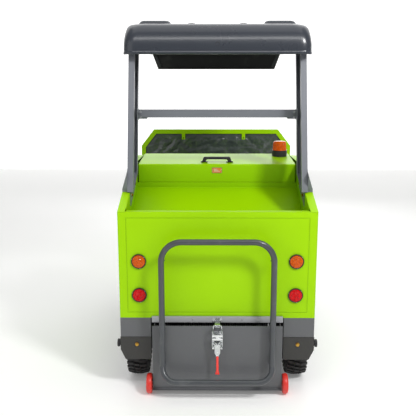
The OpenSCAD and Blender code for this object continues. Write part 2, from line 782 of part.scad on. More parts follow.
module seat_box() placed() color(dark) {
    x = seat_w / 2 - 30;
    difference() {
        block([-x, seat_y + 20, floor_z + 6 + fit], [x, seat_y + seat_d - 30, seat_z]);
        block([-x + sheet, seat_y + 20 + sheet, floor_z + 5], [x - sheet, seat_y + seat_d - 30 - sheet, seat_z - sheet]);
    }
    pair() block([x - 60, seat_y + 10, seat_z], [x - 30, seat_y + seat_d - 20, seat_z + 12]);
}

module seat_slides() placed() color(steel) {
    x = seat_w / 2 - 30;
    z = seat_z + 12 + fit;
    pair() difference() {
        block([x - 66, seat_y + 14, z - 10], [x - 24, seat_y + seat_d - 24, z + 6]);
        block([x - 60 - fit, seat_y, z - 11], [x - 30 + fit, seat_y + seat_d, z]);
    }
    block([-x, seat_y + 14, z + 6], [x, seat_y + seat_d - 40, z + 10]);
    pair() block([x - 60, seat_y - 32, z + 6], [x - 20, seat_y - 20 - fit, z + 250]);
    pair() block([x - 60, seat_y - 32, z + 6], [x - 20, seat_y + 15, z + 10]);
}

module seat_cushion() placed() color(black) {
    z = seat_z + 22 + 2 * fit;
    translate([0, 0, z]) linear_extrude(96) translate([0, seat_y + 18 + seat_d / 2])
        polygon(rounded_box(seat_w, seat_d - 6, 60));
}

module seat_back() placed() color(black) {
    z = seat_z + 22 + 97 + fit;
    translate([0, seat_y + 46, 0]) rotate([90, 0, 0]) linear_extrude(66)
        translate([0, z + 185]) polygon(rounded_box(seat_w - 30, 360, 90));
}

module steering_console() placed() color(dark) {
    difference() {
        union() {
            along_x(-80, 80, [
                [console_y - 30, floor_z + 6 + fit], [console_y + 60, floor_z + 6 + fit],
                [console_y + 60, console_top_z - 20], [console_y - 10, console_top_z]]);
            along_x(-210, 210, [
                [console_y + 40, console_top_z + 40], [console_y + 92, console_top_z + 60],
                [console_y + 92, console_top_z + 210], [console_y + 80, console_top_z + 210]]);
            along_x(-60, 60, [[console_y + 20, console_top_z - 60], [console_y + 60, console_top_z - 60],
                [console_y + 92, console_top_z + 80], [console_y + 60, console_top_z + 80]]);
            column() cylinder(h = 110, r = 26);
        }
        column() cylinder(h = 111, r = axle_r + running);
    }
}

// Frame of the tilted steering column, with its origin inside the console
module column() {
    translate([0, console_y + 16, console_top_z - 50]) rotate([steer_tilt, 0, 0]) children();
}

rim_r = 14;

module steering_wheel() placed() color(black) column() {
    translate([0, 0, 30]) cylinder(h = steer_len, r = axle_r);
    translate([0, 0, 111 + fit]) cylinder(h = 60, r = 24);
    translate([0, 0, steer_len]) cylinder(h = 30, r = 44);
    translate([0, 0, steer_len + 12]) {
        rotate_extrude() translate([wheel_d / 2 - rim_r, 0]) circle(rim_r, $fn = 24);
        for (a = [90 : 120 : 330]) rotate([0, 0, a]) block([30, -16, -5], [wheel_d / 2 - rim_r, 16, 5]);
    }
}

pedal_x = 180;
pedal_pin_r = 6;
pedal_y = shield_y - 150;
pedal_z = floor_z + 22;
pedal_tilt = 38;
pedal_l = 120;

module pedal() {
    rod_x(-46, 46, pedal_pin_r, pedal_y, pedal_z);
    rod_x(-34, 34, pedal_pin_r + 4, pedal_y, pedal_z);
    translate([0, pedal_y, pedal_z]) rotate([pedal_tilt, 0, 0]) {
        block([-38, 2, 0], [38, pedal_l, 8]);
        for (i = [0 : 4]) block([-34, 22 + i * 18, 8], [34, 30 + i * 18, 11]);
    }
}

module pedal_go() placed() color(black) translate([pedal_x, 0, 0]) pedal();
module pedal_brake() placed() color(black) translate([-pedal_x, 0, 0]) pedal();

// ---- Wheels ----

module front_fork() placed() color(dark) {
    leg_x = tyre_w * 0.45 + 10;
    top = front_tyre_d + 8;
    translate([0, front_axle_y, 0]) {
        translate([0, 0, top]) cylinder(h = panel_z + 14 - top, r = stem_r);
        translate([0, 0, top]) cylinder(h = rail_z + 20 - fit - top - 3, r = 45);
        block([-leg_x - 8, -32, top - 2], [leg_x + 8, 32, top + 8]);
        difference() {
            pair() block([leg_x, -28, front_tyre_d / 2 - 30], [leg_x + 8, 28, top + 4]);
            rod_x(-leg_x - 10, leg_x + 10, axle_r + running, 0, front_tyre_d / 2);
        }
    }
}

// Tyre on the X axis with a rounded tread and three grooves round it
module tyre(d, w, bore_r) {
    r = d / 2;
    rotate([0, 90, 0]) rotate_extrude() polygon(rounded([
        [bore_r, -w * 0.42, 0], [r * 0.86, -w / 2, 12], [r, -w * 0.4, 10],
        [r, -w * 0.3, 0], [r - 8, -w * 0.28, 0], [r - 8, -w * 0.22, 0], [r, -w * 0.2, 0],
        [r, -w * 0.04, 0], [r - 8, -w * 0.03, 0], [r - 8, w * 0.03, 0], [r, w * 0.04, 0],
        [r, w * 0.2, 0], [r - 8, w * 0.22, 0], [r - 8, w * 0.28, 0], [r, w * 0.3, 0],
        [r, w * 0.4, 10], [r * 0.86, w / 2, 12], [bore_r, w * 0.42, 0]]));
}

// Pressed wheel disc with a hub that runs on an axle
module wheel_rim(w, bore_r, hub_w) {
    rotate([0, 90, 0]) rotate_extrude() polygon([
        [axle_r + running, -hub_w / 2], [30, -hub_w / 2], [34, -6], [bore_r - 12, -8],
        [bore_r - 8, -w * 0.4], [bore_r - fit, -w * 0.4], [bore_r - fit, w * 0.4],
        [bore_r - 8, w * 0.4], [bore_r - 12, 8], [34, 6], [30, hub_w / 2], [axle_r + running, hub_w / 2]]);
}

module front_tyre() placed() color(black)
    translate([0, front_axle_y, front_tyre_d / 2]) tyre(front_tyre_d, tyre_w * 0.9, front_tyre_d * 0.28);

module front_rim() placed() color(silver) translate([0, front_axle_y, front_tyre_d / 2]) {
    difference() {
        wheel_rim(tyre_w * 0.9, front_tyre_d * 0.28, tyre_w * 0.8);
        rod_x(-tyre_w, tyre_w, axle_r - 1, 0, 0);
    }
    rod_x(-tyre_w * 0.45 - 24, tyre_w * 0.45 + 24, axle_r, 0, 0);
    rod_x(-20, 20, axle_r + 1, 0, 0); // key between the rim and its axle
}

module rear_wheel() translate([(tyre_in + tyre_out) / 2, rear_axle_y, tyre_d / 2]) {
    tyre(tyre_d, tyre_w, tyre_d * 0.28);
    wheel_rim(tyre_w, tyre_d * 0.28, tyre_w * 0.5);
}

module rear_wheel_left() placed() color(black) mirror([1, 0, 0]) rear_wheel();
module rear_wheel_right() placed() color(black) rear_wheel();

// ---- Brushes ----

module main_broom() placed() color(black) {
    z = broom_d / 2 + 1;
    x = bin_hw - 12;
    rod_x(-x, x, broom_d / 2, broom_y, z);
    pair() rod_x(x, bin_hw + 2, axle_r, broom_y, z);
    pair() rod_x(x, x + 5, axle_r + 14, broom_y, z);
}

module brush_arm() color(steel) {
    difference() {
        union() {
            rod_x(arm_x, arm_x + arm_w, 20, arm_y, arm_pin_z);
            block([arm_x, arm_y, arm_pin_z - 20], [arm_x + arm_w, brush_y + 30, arm_pin_z]);
        }
        rod_x(arm_x - 1, arm_x + arm_w + 1, arm_pin_r + running, arm_y, arm_pin_z);
    }
    block([arm_x + arm_w - 1, brush_y - 50, arm_pin_z - 20], [brush_x + 60, brush_y + 50, arm_pin_z - 12]);
    translate([brush_x, brush_y, brush_z + brush_h + 6])
        cylinder(h = arm_pin_z - 20 - brush_z - brush_h - 6, r = motor_r);
    translate([brush_x, brush_y, brush_z + brush_h + 6 - 40]) cylinder(h = 41, r = axle_r);
}

module brush_arm_left() placed() mirror([1, 0, 0]) brush_arm();
module brush_arm_right() placed() brush_arm();

module side_brush() color("#30323A") translate([brush_x, brush_y, brush_z]) difference() {
    rotate_extrude() polygon([
        [0, brush_h], [64, brush_h], [84, brush_h - 22], [brush_d / 2, 12], [brush_d / 2 - 4, 0],
        [brush_d / 2 - 80, 0], [60, brush_h - 40], [0, brush_h - 40]]);
    translate([0, 0, brush_h - 36]) cylinder(h = 40, r = axle_r + running);
}

module side_brush_left() placed() mirror([1, 0, 0]) side_brush();
module side_brush_right() placed() side_brush();

// ---- Dust bin ----

module dust_bin() placed() color(grey) {
    x = bin_hw - 10;
    difference() {
        block([-x, bin_y, bin_floor_z], [x, bin_front_y, bin_top]);
        block([-x + bin_wall, bin_y + bin_wall, bin_floor_z + bin_wall],
              [x - bin_wall, bin_front_y - bin_wall, bin_top + 1]);
        block([-x + bin_wall, bin_front_y - bin_wall - 1, bin_floor_z + 60],
              [x - bin_wall, bin_front_y + 1, bin_top + 1]);
    }
    block([-bin_hw, bin_y - sheet, apron_z], [bin_hw, bin_y, bin_top]);
    block([-bin_hw, bin_y - 22, apron_z], [bin_hw, bin_y - sheet, apron_z + 4]);
    pair() {
        block([bin_hw - 10, bin_y, bin_wheel_d / 2 - 24], [bin_hw - 4, bin_y + 60, bin_floor_z + 40]);
        rod_x(bin_hw - 5, bin_wheel_x + bin_wheel_w / 2 - 2, bin_axle_r, bin_wheel_y + 20, bin_wheel_d / 2);
        difference() {
            block([caster_x - 18, caster_y - 20, caster_d / 2 - 10], [caster_x + 18, caster_y + 20, bin_floor_z]);
            block([caster_x - 13, caster_y - 40, -1], [caster_x + 13, caster_y + 40, caster_d + 6]);
        }
        rod_x(caster_x - 17, caster_x + 17, bin_axle_r, caster_y, caster_d / 2);
    }
}

// Red wheel or roller on the X axis with a running bore
module roller(d, w) {
    rotate([0, 90, 0]) rotate_extrude() polygon(rounded([
        [bin_axle_r + running, -w / 2, 0], [d / 2 - 6, -w / 2, 0], [d / 2, -w / 2, 8],
        [d / 2, w / 2, 8], [d / 2 - 6, w / 2, 0], [bin_axle_r + running, w / 2, 0]]));
}

module bin_wheel() translate([bin_wheel_x, bin_wheel_y + 20, bin_wheel_d / 2]) roller(bin_wheel_d, bin_wheel_w);
module bin_roller() translate([caster_x, caster_y, caster_d / 2]) roller(caster_d, caster_w);

module bin_wheel_left() placed() color(red) translate([-2 * bin_wheel_x, 0, 0]) bin_wheel();
module bin_wheel_right() placed() color(red) bin_wheel();
module bin_roller_left() placed() color(black) mirror([1, 0, 0]) bin_roller();
module bin_roller_right() placed() color(black) bin_roller();

module bin_handle() placed() color("#7C8087") {
    top = handle_z - handle_bend_r;
    pair() {
        translate([handle_hw, handle_y, mitre_z]) cylinder(h = top - mitre_z, r = tube_r);
        translate([handle_hw - handle_bend_r, handle_y, top]) elbow(handle_bend_r, tube_r);
        translate([handle_hw, handle_y - kink_r, mitre_z]) mirror([0, 0, 1]) rotate([90, 0, 90])
            rotate_extrude(angle = foot_tilt) translate([kink_r, 0]) circle(tube_r);
        translate([0, kink_y, kink_z]) rotate([-foot_tilt, 0, 0]) {
            translate([handle_hw, 0, -foot_drop + foot_bend_r]) cylinder(h = foot_drop - foot_bend_r, r = tube_r);
            translate([handle_hw - foot_bend_r, 0, -foot_drop + foot_bend_r])
                mirror([0, 0, 1]) elbow(foot_bend_r, tube_r);
        }
        for (z = [mitre_z + 30, bin_top - 50])
            block([handle_hw - 12, handle_y, z], [handle_hw + 12, bin_y - sheet - fit, z + 26]);
    }
    rod_x(-handle_hw + handle_bend_r, handle_hw - handle_bend_r, tube_r, handle_y, handle_z);
    rod_x(-handle_hw + foot_bend_r, handle_hw - foot_bend_r, tube_r, foot_y, foot_z);
}

// ---- Toggle latch ----

latch_pin_r = 4;
cheek_x = 17;
cheek_t = 3;

module latch_base() placed() color(silver) difference() {
    union() {
        block([-30, bin_y - sheet - fit - 4, latch_z - 34], [30, bin_y - sheet - fit, latch_z + 66]);
        pair() block([cheek_x, latch_y - 7.5, latch_z - 12], [cheek_x + cheek_t, bin_y - sheet - fit - 3, latch_z + 12]);
    }
    rod_x(-40, 40, latch_pin_r + running, latch_y, latch_z);
}

module latch_lever() placed() color(silver) {
    rod_x(-cheek_x - cheek_t - 2, cheek_x + cheek_t + 2, latch_pin_r, latch_y, latch_z);
    difference() {
        union() {
            pair() block([cheek_x - 4, latch_y - 20, latch_z - 34], [cheek_x - 1, latch_y + 8, latch_z + 8]);
            along_y(latch_y - 20, latch_y - 16, both_sides([
                [6, latch_z - 78], [cheek_x - 1, latch_z - 44], [cheek_x - 1, latch_z + 4]]));
        }
        pair() rod_x(-40, 40, latch_pin_r + running, latch_y + crank_y, latch_z + crank_z);
        for (z = [latch_z - 8, latch_z - 46]) rod_y(latch_y - 21, latch_y - 15, 4, 0, z);
    }
}

module latch_grip() placed() color("#FF3B30") {
    top = latch_z - 72;
    end = latch_z - lever_len;
    mid = latch_y - 18;
    along_y(mid - 8, mid - 2 - fit, both_sides([[4, end + 6], [12, end], [9, top - 30], [11, top], [7, top + 8]]));
    along_y(mid + 2 + fit, mid + 7, both_sides([[4, end + 6], [12, end], [9, top - 30], [11, top], [7, top + 8]]));
    along_y(mid - 3, mid + 3, both_sides([[4, end + 6], [11, end + 1], [8.5, top - 30], [9, top - 8 - fit]]));
}

module latch_hook() placed() color(silver) {
    y = latch_y + crank_y;
    z0 = latch_z + crank_z;
    z1 = keeper_z + 4 + fit + latch_rod_r;
    pair() {
        rod_x(cheek_x + cheek_t + 1, latch_rod_x + 5, 8, y, z0);
        translate([latch_rod_x + 1, y, z0]) cylinder(h = z1 - z0, r = latch_rod_r);
        translate([latch_rod_x + 1, y, z1]) sphere(latch_rod_r);
    }
    rod_x(-latch_rod_x - 1, latch_rod_x + 1, latch_rod_r, y, z1);
    rod_x(-latch_rod_x - 1, latch_rod_x + 1, latch_pin_r, y, z0);
    block([-latch_rod_x - 7, y - 6, latch_z + 22], [latch_rod_x + 7, y + 6, latch_z + 60]);
}

// ---- Drawing ----

chassis_frame();
deck_plate();
side_panels();
rear_panel();
tub_liner();
skirts();
bumpers();
bolts();
side_knobs();
header_strip();
latch_keeper();
tail_lamp_bezels();
amber_lenses();
red_lenses();
filter_box();
battery_pack();
bulkhead();
hood_lid();
hood_grip();
hood_label();
beacon_base();
beacon_lens();
posts();
crossbar();
canopy_frame();
canopy_shell();
canopy_visor();
front_shield();
shield_film();
front_cowl();
floor_pan();
seat_box();
seat_slides();
seat_cushion();
seat_back();
steering_console();
steering_wheel();
pedal_go();
pedal_brake();
front_fork();
front_tyre();
front_rim();
rear_wheel_left();
rear_wheel_right();
main_broom();
broom_housing();
brush_arm_left();
brush_arm_right();
side_brush_left();
side_brush_right();
dust_bin();
bin_handle();
bin_wheel_left();
bin_wheel_right();
bin_roller_left();
bin_roller_right();
latch_base();
latch_lever();
latch_grip();
latch_hook();
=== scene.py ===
"""Ride-on sweeper seen from behind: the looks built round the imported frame.

Each sub-assembly is a class that dresses its frame nodes and adds its own pieces.
Lengths are metres and every piece lies in the frame's own coordinates.
"""
import logging
import math
import random
from dataclasses import dataclass
from enum import Enum
from typing import Callable, Iterable, Optional, Sequence

import bmesh
import bpy
from mathutils import Matrix, Vector, noise


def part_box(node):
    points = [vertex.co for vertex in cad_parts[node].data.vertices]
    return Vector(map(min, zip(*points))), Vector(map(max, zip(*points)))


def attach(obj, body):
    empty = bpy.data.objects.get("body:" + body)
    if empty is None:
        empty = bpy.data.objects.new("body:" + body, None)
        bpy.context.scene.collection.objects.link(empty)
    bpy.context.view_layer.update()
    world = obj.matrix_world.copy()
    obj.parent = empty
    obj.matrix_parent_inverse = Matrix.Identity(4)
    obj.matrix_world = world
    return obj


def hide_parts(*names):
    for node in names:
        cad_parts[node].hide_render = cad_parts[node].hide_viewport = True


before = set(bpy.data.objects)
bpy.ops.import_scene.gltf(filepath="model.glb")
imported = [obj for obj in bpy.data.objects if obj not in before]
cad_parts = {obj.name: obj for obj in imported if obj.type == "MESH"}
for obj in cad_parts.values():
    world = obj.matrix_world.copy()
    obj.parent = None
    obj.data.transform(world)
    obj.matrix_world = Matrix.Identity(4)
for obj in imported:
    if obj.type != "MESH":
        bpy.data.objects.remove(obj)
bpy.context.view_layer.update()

log = logging.getLogger("sweeper")
logging.basicConfig(level=logging.INFO, format="%(name)s: %(message)s")

MM = 0.001
WASHER = 0.0014  # thickness of the washer under a bolt head
Point = Sequence[float]
# Painted shade: the colour that shut-in corners of the green coat are darkened to.
CORNER_SHADE = "#2E5A00"  # what a shut-in corner of the green coat darkens to


# ---------------------------------------------------------------- materials

def linear(hex_colour: str) -> tuple[float, float, float, float]:
    """Turn an sRGB hex colour into Blender's linear colour.

    Args:
        hex_colour: six hex digits, with or without a leading hash.

    Returns:
        Linear red, green, blue and an alpha of 1.
    """
    digits = hex_colour.lstrip("#")
    parts = [int(digits[i:i + 2], 16) / 255 for i in (0, 2, 4)]
    low = [c / 12.92 if c <= 0.04045 else ((c + 0.055) / 1.055) ** 2.4 for c in parts]
    return low[0], low[1], low[2], 1.0


class Wear(Enum):
    """How a finish has aged."""

    CLEAN = 0.0
    HANDLED = 0.35


def add_node(tree: bpy.types.NodeTree, kind: str, settings: Optional[dict] = None,
             links: Optional[dict] = None) -> bpy.types.Node:
    """Add one shader node with its settings and its incoming links.

    Args:
        tree: the material's node tree.
        kind: the node's class name, such as ShaderNodeTexNoise.
        settings: attribute names or input names to values.
        links: input names or numbers to (node, output name) pairs.

    Returns:
        The new node.
    """
    node = tree.nodes.new(kind)
    for name, value in (settings or {}).items():
        if name in node.inputs:
            node.inputs[name].default_value = value
        else:
            setattr(node, name, value)
    for name, (source, output) in (links or {}).items():
        tree.links.new(source.outputs[output], node.inputs[name])
    return node


@dataclass(frozen=True)
class Finish:
    """One real surface: what it is made of and how its face was made.

    The colour varies softly between two shades, a fine relief gives the grain,
    dust gathers in a coarse pattern, and shade can be painted into shut-in corners.
    """

    name: str
    colour: str
    shade: str
    roughness: float
    grain_mm: float
    relief: float
    metallic: float = 0.0
    coat: float = 0.0
    ior: float = 1.5
    patch_mm: float = 220.0
    dust: str = "#8C8A84"
    wear: Wear = Wear.CLEAN
    stretch: tuple[float, float, float] = (1.0, 1.0, 1.0)
    cells: bool = False
    glow: float = 0.0
    # How strongly shade is painted into shut-in corners, 0 for none.
    corners: float = 0.0

    def material(self) -> bpy.types.Material:
        """Build the material, or give the one already built.

        Returns:
            The Blender material.
        """
        known = bpy.data.materials.get(self.name)
        if known is not None:
            return known
        made = bpy.data.materials.new(self.name)
        made.use_nodes = True
        made.diffuse_color = linear(self.colour)
        tree = made.node_tree
        shader = tree.nodes["Principled BSDF"]
        shader.inputs["Metallic"].default_value = self.metallic
        shader.inputs["Coat Weight"].default_value = self.coat
        shader.inputs["Coat Roughness"].default_value = 0.12
        shader.inputs["Emission Color"].default_value = linear(self.colour)
        shader.inputs["Emission Strength"].default_value = self.glow
        if self.metallic < 0.5:
            shader.inputs["IOR"].default_value = self.ior
        place = add_node(tree, "ShaderNodeTexCoord")
        spread = add_node(tree, "ShaderNodeMapping", {"Scale": self.stretch}, {"Vector": (place, "Object")})
        patches = add_node(tree, "ShaderNodeTexNoise",
                           {"Scale": 1000 / self.patch_mm, "Detail": 5.0, "Roughness": 0.6},
                           {"Vector": (spread, "Vector")})
        fine = self._grain(tree, spread)
        tone = add_node(tree, "ShaderNodeMix", {"data_type": "RGBA"}, {0: (patches, "Fac")})
        tone.inputs[6].default_value = linear(self.shade)
        tone.inputs[7].default_value = linear(self.colour)
        edge = add_node(tree, "ShaderNodeMapRange",
                        {"From Min": 0.58, "From Max": 0.78, "To Min": 0.0,
                         "To Max": 0.12 + self.wear.value * 0.5},
                        {"Value": (patches, "Fac")})
        dust_and_corner_shade = add_node(tree, "ShaderNodeMix", {"data_type": "RGBA"}, {0: (edge, "Result"), 6: (tone, 2)})
        dust_and_corner_shade.inputs[7].default_value = linear(self.dust)
        # Painted shade: ambient occlusion darkens the colour towards CORNER_SHADE in shut-in corners.
        if self.corners > 0:
            nook = add_node(tree, "ShaderNodeAmbientOcclusion", {"Distance": 0.30, "samples": 8})
            dim = add_node(tree, "ShaderNodeMapRange",
                           {"From Min": 0.35, "From Max": 0.95, "To Min": self.corners,
                                                        "To Max": 0.0}, {"Value": (nook, "AO")})
            dust_and_corner_shade = add_node(tree, "ShaderNodeMix", {"data_type": "RGBA"},
                             {0: (dim, "Result"), 6: (dust_and_corner_shade, 2)})
            dust_and_corner_shade.inputs[7].default_value = linear(CORNER_SHADE)
        tree.links.new(dust_and_corner_shade.outputs[2], shader.inputs["Base Color"])
        rough = add_node(tree, "ShaderNodeMapRange",
                         {"To Min": max(0.03, self.roughness - 0.07),
                          "To Max": min(1.0, self.roughness + 0.09)},
                         {"Value": (patches, "Fac")})
        tree.links.new(rough.outputs["Result"], shader.inputs["Roughness"])
        bump = add_node(tree, "ShaderNodeBump",
                        {"Strength": self.relief, "Distance": self.grain_mm * MM * 0.25},
                        {"Height": fine})
        tree.links.new(bump.outputs["Normal"], shader.inputs["Normal"])
        return made

    def _grain(self, tree: bpy.types.NodeTree, spread: bpy.types.Node) -> tuple[bpy.types.Node, str]:
        """Make the fine relief pattern.

        Args:
            tree: the material's node tree.
            spread: the mapping node that places the pattern.

        Returns:
            The pattern's node and the name of its output.
        """
        scale = 1000 / self.grain_mm
        if self.cells:
            return add_node(tree, "ShaderNodeTexVoronoi", {"Scale": scale, "feature": "SMOOTH_F1"},
                            {"Vector": (spread, "Vector")}), "Distance"
        return add_node(tree, "ShaderNodeTexNoise", {"Scale": scale, "Detail": 3.0},
                        {"Vector": (spread, "Vector")}), "Fac"


# Polyester powder coat on steel sheet, sprayed and baked: an even, slightly rippled gloss, with painted
# shade darkening its shut-in corners.
LIME_COAT = Finish("lime_powder_coat", "#A5DC00", "#9AD000", 0.36, 3.0, 0.10, ior=1.24, patch_mm=420,
                   dust="#B2DC38", corners=0.5)
# Shadowed joint between two green panels, with dust in its sealant.
SEAM_SHADE = Finish("green_joint_sealant", "#4C7208", "#3C5C06", 0.6, 2.0, 0.2, patch_mm=60, dust="#6C7A3C")
# The same coat in mid grey, semi-gloss, on the skirts and the dust bin.
GREY_COAT = Finish("grey_powder_coat", "#626366", "#585A5C", 0.42, 2.4, 0.14, patch_mm=260, dust="#77777A")
# Darker semi-gloss coat of the corner bumpers.
DARK_COAT = Finish("dark_powder_coat", "#343331", "#2D2C2A", 0.46, 2.4, 0.16, patch_mm=200,
                   wear=Wear.HANDLED)
# Black chassis enamel, dusty under the machine.
CHASSIS_COAT = Finish("black_chassis_enamel", "#2B2B2D", "#232325", 0.5, 3.0, 0.2, patch_mm=160,
                      wear=Wear.HANDLED)
# Blue-grey coat of the folded posts and the crossbar.
POST_COAT = Finish("blue_grey_powder_coat", "#777A81", "#6C6F76", 0.4, 2.6, 0.12, patch_mm=300,
                   dust="#84868B")
# Grey coat of the bent handle tube, a little rubbed by hands.
HANDLE_COAT = Finish("handle_powder_coat", "#46494D", "#3E4145", 0.3, 2.2, 0.12, coat=0.2, patch_mm=120,
                     dust="#777A7D", wear=Wear.HANDLED)
# Pale grey coat of the header strip.
STRIP_COAT = Finish("pale_grey_powder_coat", "#A7A9AC", "#9C9EA1", 0.4, 2.4, 0.12, patch_mm=200)
# Polyethylene, rotation moulded, with a fine leather grain pressed from the tool.
CANOPY_PLASTIC = Finish("moulded_polyethylene", "#2F343D", "#282C34", 0.27, 4.0, 0.28, cells=True,
                        coat=0.3, patch_mm=500,
                        dust="#474C55")
# Black ABS sheet of the visor under the canopy, made near-black so that it also paints the shade under the
# canopy's roof.
VISOR_PLASTIC = Finish("thermoformed_black_abs", "#0F1011", "#0B0C0D", 0.4, 3.0, 0.2, cells=True,
                       patch_mm=160)
# Zinc-plated mild steel, stamped, with a faint crystalline mottle.
ZINC = Finish("zinc_plated_steel", "#DADCDE", "#B6B9BC", 0.24, 1.6, 0.15, metallic=1.0, patch_mm=18)
# Yellow-passivated zinc on the bumper and post bolts.
YELLOW_ZINC = Finish("yellow_passivated_zinc", "#C9A04C", "#A98236", 0.33, 1.4, 0.15, metallic=1.0,
                     patch_mm=10)
# Glass-filled nylon, injection moulded, matt black.
BLACK_NYLON = Finish("moulded_black_nylon", "#222224", "#1A1A1C", 0.5, 1.6, 0.25, cells=True, patch_mm=60)
# Cast polyurethane tread of the red wheels: dense, with a soft gloss.
RED_URETHANE = Finish("cast_red_polyurethane", "#E4392E", "#D02C23", 0.38, 1.8, 0.1, coat=0.15, patch_mm=50,
                      dust="#C9766E", wear=Wear.HANDLED)
# Injection-moulded nylon centre of the red wheels.
RED_NYLON = Finish("moulded_red_nylon", "#DB4338", "#C8372E", 0.42, 1.6, 0.2, cells=True, patch_mm=40,
                   dust="#BE6E66",
                   wear=Wear.HANDLED)
# Dipped PVC on the lever, glossy and slightly uneven.
RED_VINYL = Finish("dipped_red_vinyl", "#FF3A2E", "#EE2C22", 0.22, 6.0, 0.15, coat=0.5, patch_mm=30,
                   dust="#FF6A60")
# Natural rubber compound with carbon black, dusted by the floor.
TYRE_RUBBER = Finish("carbon_black_rubber", "#232324", "#191919", 0.72, 1.8, 0.3, cells=True, patch_mm=70,
                     dust="#6E6A62", wear=Wear.HANDLED)
# Polypropylene monofilament, extruded and crimped.
BRISTLE = Finish("crimped_polypropylene", "#2C2F38", "#1F2128", 0.5, 2.0, 0.3, patch_mm=40, dust="#6B675E",
                 wear=Wear.HANDLED)
# Expanded vinyl on cotton backing, embossed with a leather grain.
SEAT_VINYL = Finish("embossed_black_vinyl", "#26272A", "#1C1D20", 0.44, 3.2, 0.45, cells=True, patch_mm=140)
# Extruded PVC piping cord sewn into the seat's seams.
SEAT_PIPING = Finish("extruded_pvc_piping", "#303135", "#28292C", 0.36, 1.5, 0.15, patch_mm=60)
# Polypropylene battery cases and the filter's moulded cover.
CASE_PLASTIC = Finish("moulded_polypropylene", "#303236", "#26282B", 0.5, 2.2, 0.25, cells=True,
                      patch_mm=90)
# Soft black EPDM rubber of mats, edging and washers.
MAT_RUBBER = Finish("ribbed_epdm_rubber", "#1E1E1F", "#161617", 0.66, 2.0, 0.3, cells=True, patch_mm=80,
                    wear=Wear.HANDLED)
# Aluminised reflector shell behind the lenses.
REFLECTOR = Finish("aluminised_reflector", "#E6E7E8", "#D5D6D8", 0.12, 2.0, 0.05, metallic=1.0, patch_mm=20)
# Printed orange vinyl of the label, left without any lettering.
LABEL_VINYL = Finish("orange_label_vinyl", "#E8852A", "#DC7820", 0.35, 2.0, 0.06, patch_mm=40,
                     dust="#EE9C58")
# White printed stripes of the label.
LABEL_WHITE = Finish("white_label_ink", "#E8E4DC", "#DDD9D0", 0.4, 2.0, 0.05, patch_mm=30)
# Diamond-cut polished steel of axle ends and pins.
BRIGHT_STEEL = Finish("turned_bright_steel", "#ECEDEE", "#D0D2D4", 0.18, 1.0, 0.12, metallic=1.0,
                      patch_mm=12,
                      stretch=(1.0, 6.0, 6.0))


@dataclass(frozen=True)
class LensFinish:
    """Injection-moulded acrylic that lets light in and glows in its own colour."""

    name: str
    colour: str
    deep: str

    def material(self) -> bpy.types.Material:
        """Build the lens material, or give the one already built.

        Returns:
            The Blender material.
        """
        known = bpy.data.materials.get(self.name)
        if known is not None:
            return known
        made = bpy.data.materials.new(self.name)
        made.use_nodes = True
        made.diffuse_color = linear(self.colour)
        tree = made.node_tree
        shader = tree.nodes["Principled BSDF"]
        shader.inputs["Roughness"].default_value = 0.08
        shader.inputs["IOR"].default_value = 1.3
        shader.inputs["Coat Weight"].default_value = 0.15
        shader.inputs["Coat Roughness"].default_value = 0.05
        shader.inputs["Transmission Weight"].default_value = 0.3
        shader.inputs["Emission Color"].default_value = linear(self.colour)
        shader.inputs["Emission Strength"].default_value = 0.1
        place = add_node(tree, "ShaderNodeTexCoord")
        prism = add_node(tree, "ShaderNodeTexVoronoi", {"Scale": 120.0}, {"Vector": (place, "Object")})
        depth = add_node(tree, "ShaderNodeMapRange", {"From Min": 0.1, "From Max": 0.55},
                         {"Value": (prism, "Distance")})
        tone = add_node(tree, "ShaderNodeMix", {"data_type": "RGBA"}, {0: (depth, "Result")})
        tone.inputs[6].default_value = linear(self.deep)
        tone.inputs[7].default_value = linear(self.colour)
        tree.links.new(tone.outputs[2], shader.inputs["Base Color"])
        bump = add_node(tree, "ShaderNodeBump", {"Strength": 0.9, "Distance": 0.003},
                        {"Height": (prism, "Distance")})
        tree.links.new(bump.outputs["Normal"], shader.inputs["Normal"])
        return made


# Stretched PVC film, dark and glossy, crinkled where it was pulled over the frame.
FILM = Finish("crinkled_pvc_film", "#4C5551", "#363E3B", 0.2, 14.0, 0.35, coat=0.5, patch_mm=90,
              dust="#77827D",
              stretch=(1.0, 1.0, 2.2))
AMBER_ACRYLIC = LensFinish("amber_acrylic", "#E06200", "#9C3C00")
RED_ACRYLIC = LensFinish("red_acrylic", "#DE0008", "#7C0003")


# ---------------------------------------------------------------- mesh making

def mesh_object(name: str, verts: Iterable[Point], faces: Iterable[Sequence[int]], finish,
                smooth: bool = True) -> bpy.types.Object:
    """Make a mesh object with its material.

    Args:
        name: the piece's name.
        verts: corner positions in metres.
        faces: corner numbers of each face.
        finish: the finish it gets.
        smooth: whether its faces are shaded smooth.

    Returns:
        The new object.
    """
    mesh = bpy.data.meshes.new(name)
    mesh.from_pydata([tuple(v) for v in verts], [], [tuple(f) for f in faces])
    mesh.validate()
    tidy = bmesh.new()
    tidy.from_mesh(mesh)
    bmesh.ops.remove_doubles(tidy, verts=tidy.verts, dist=1e-6)
    bmesh.ops.recalc_face_normals(tidy, faces=tidy.faces)
    tidy.to_mesh(mesh)
    tidy.free()
    mesh.polygons.foreach_set("use_smooth", [smooth] * len(mesh.polygons))
    made = bpy.data.objects.new(name, mesh)
    bpy.context.scene.collection.objects.link(made)
    mesh.materials.append(finish.material())
    return made


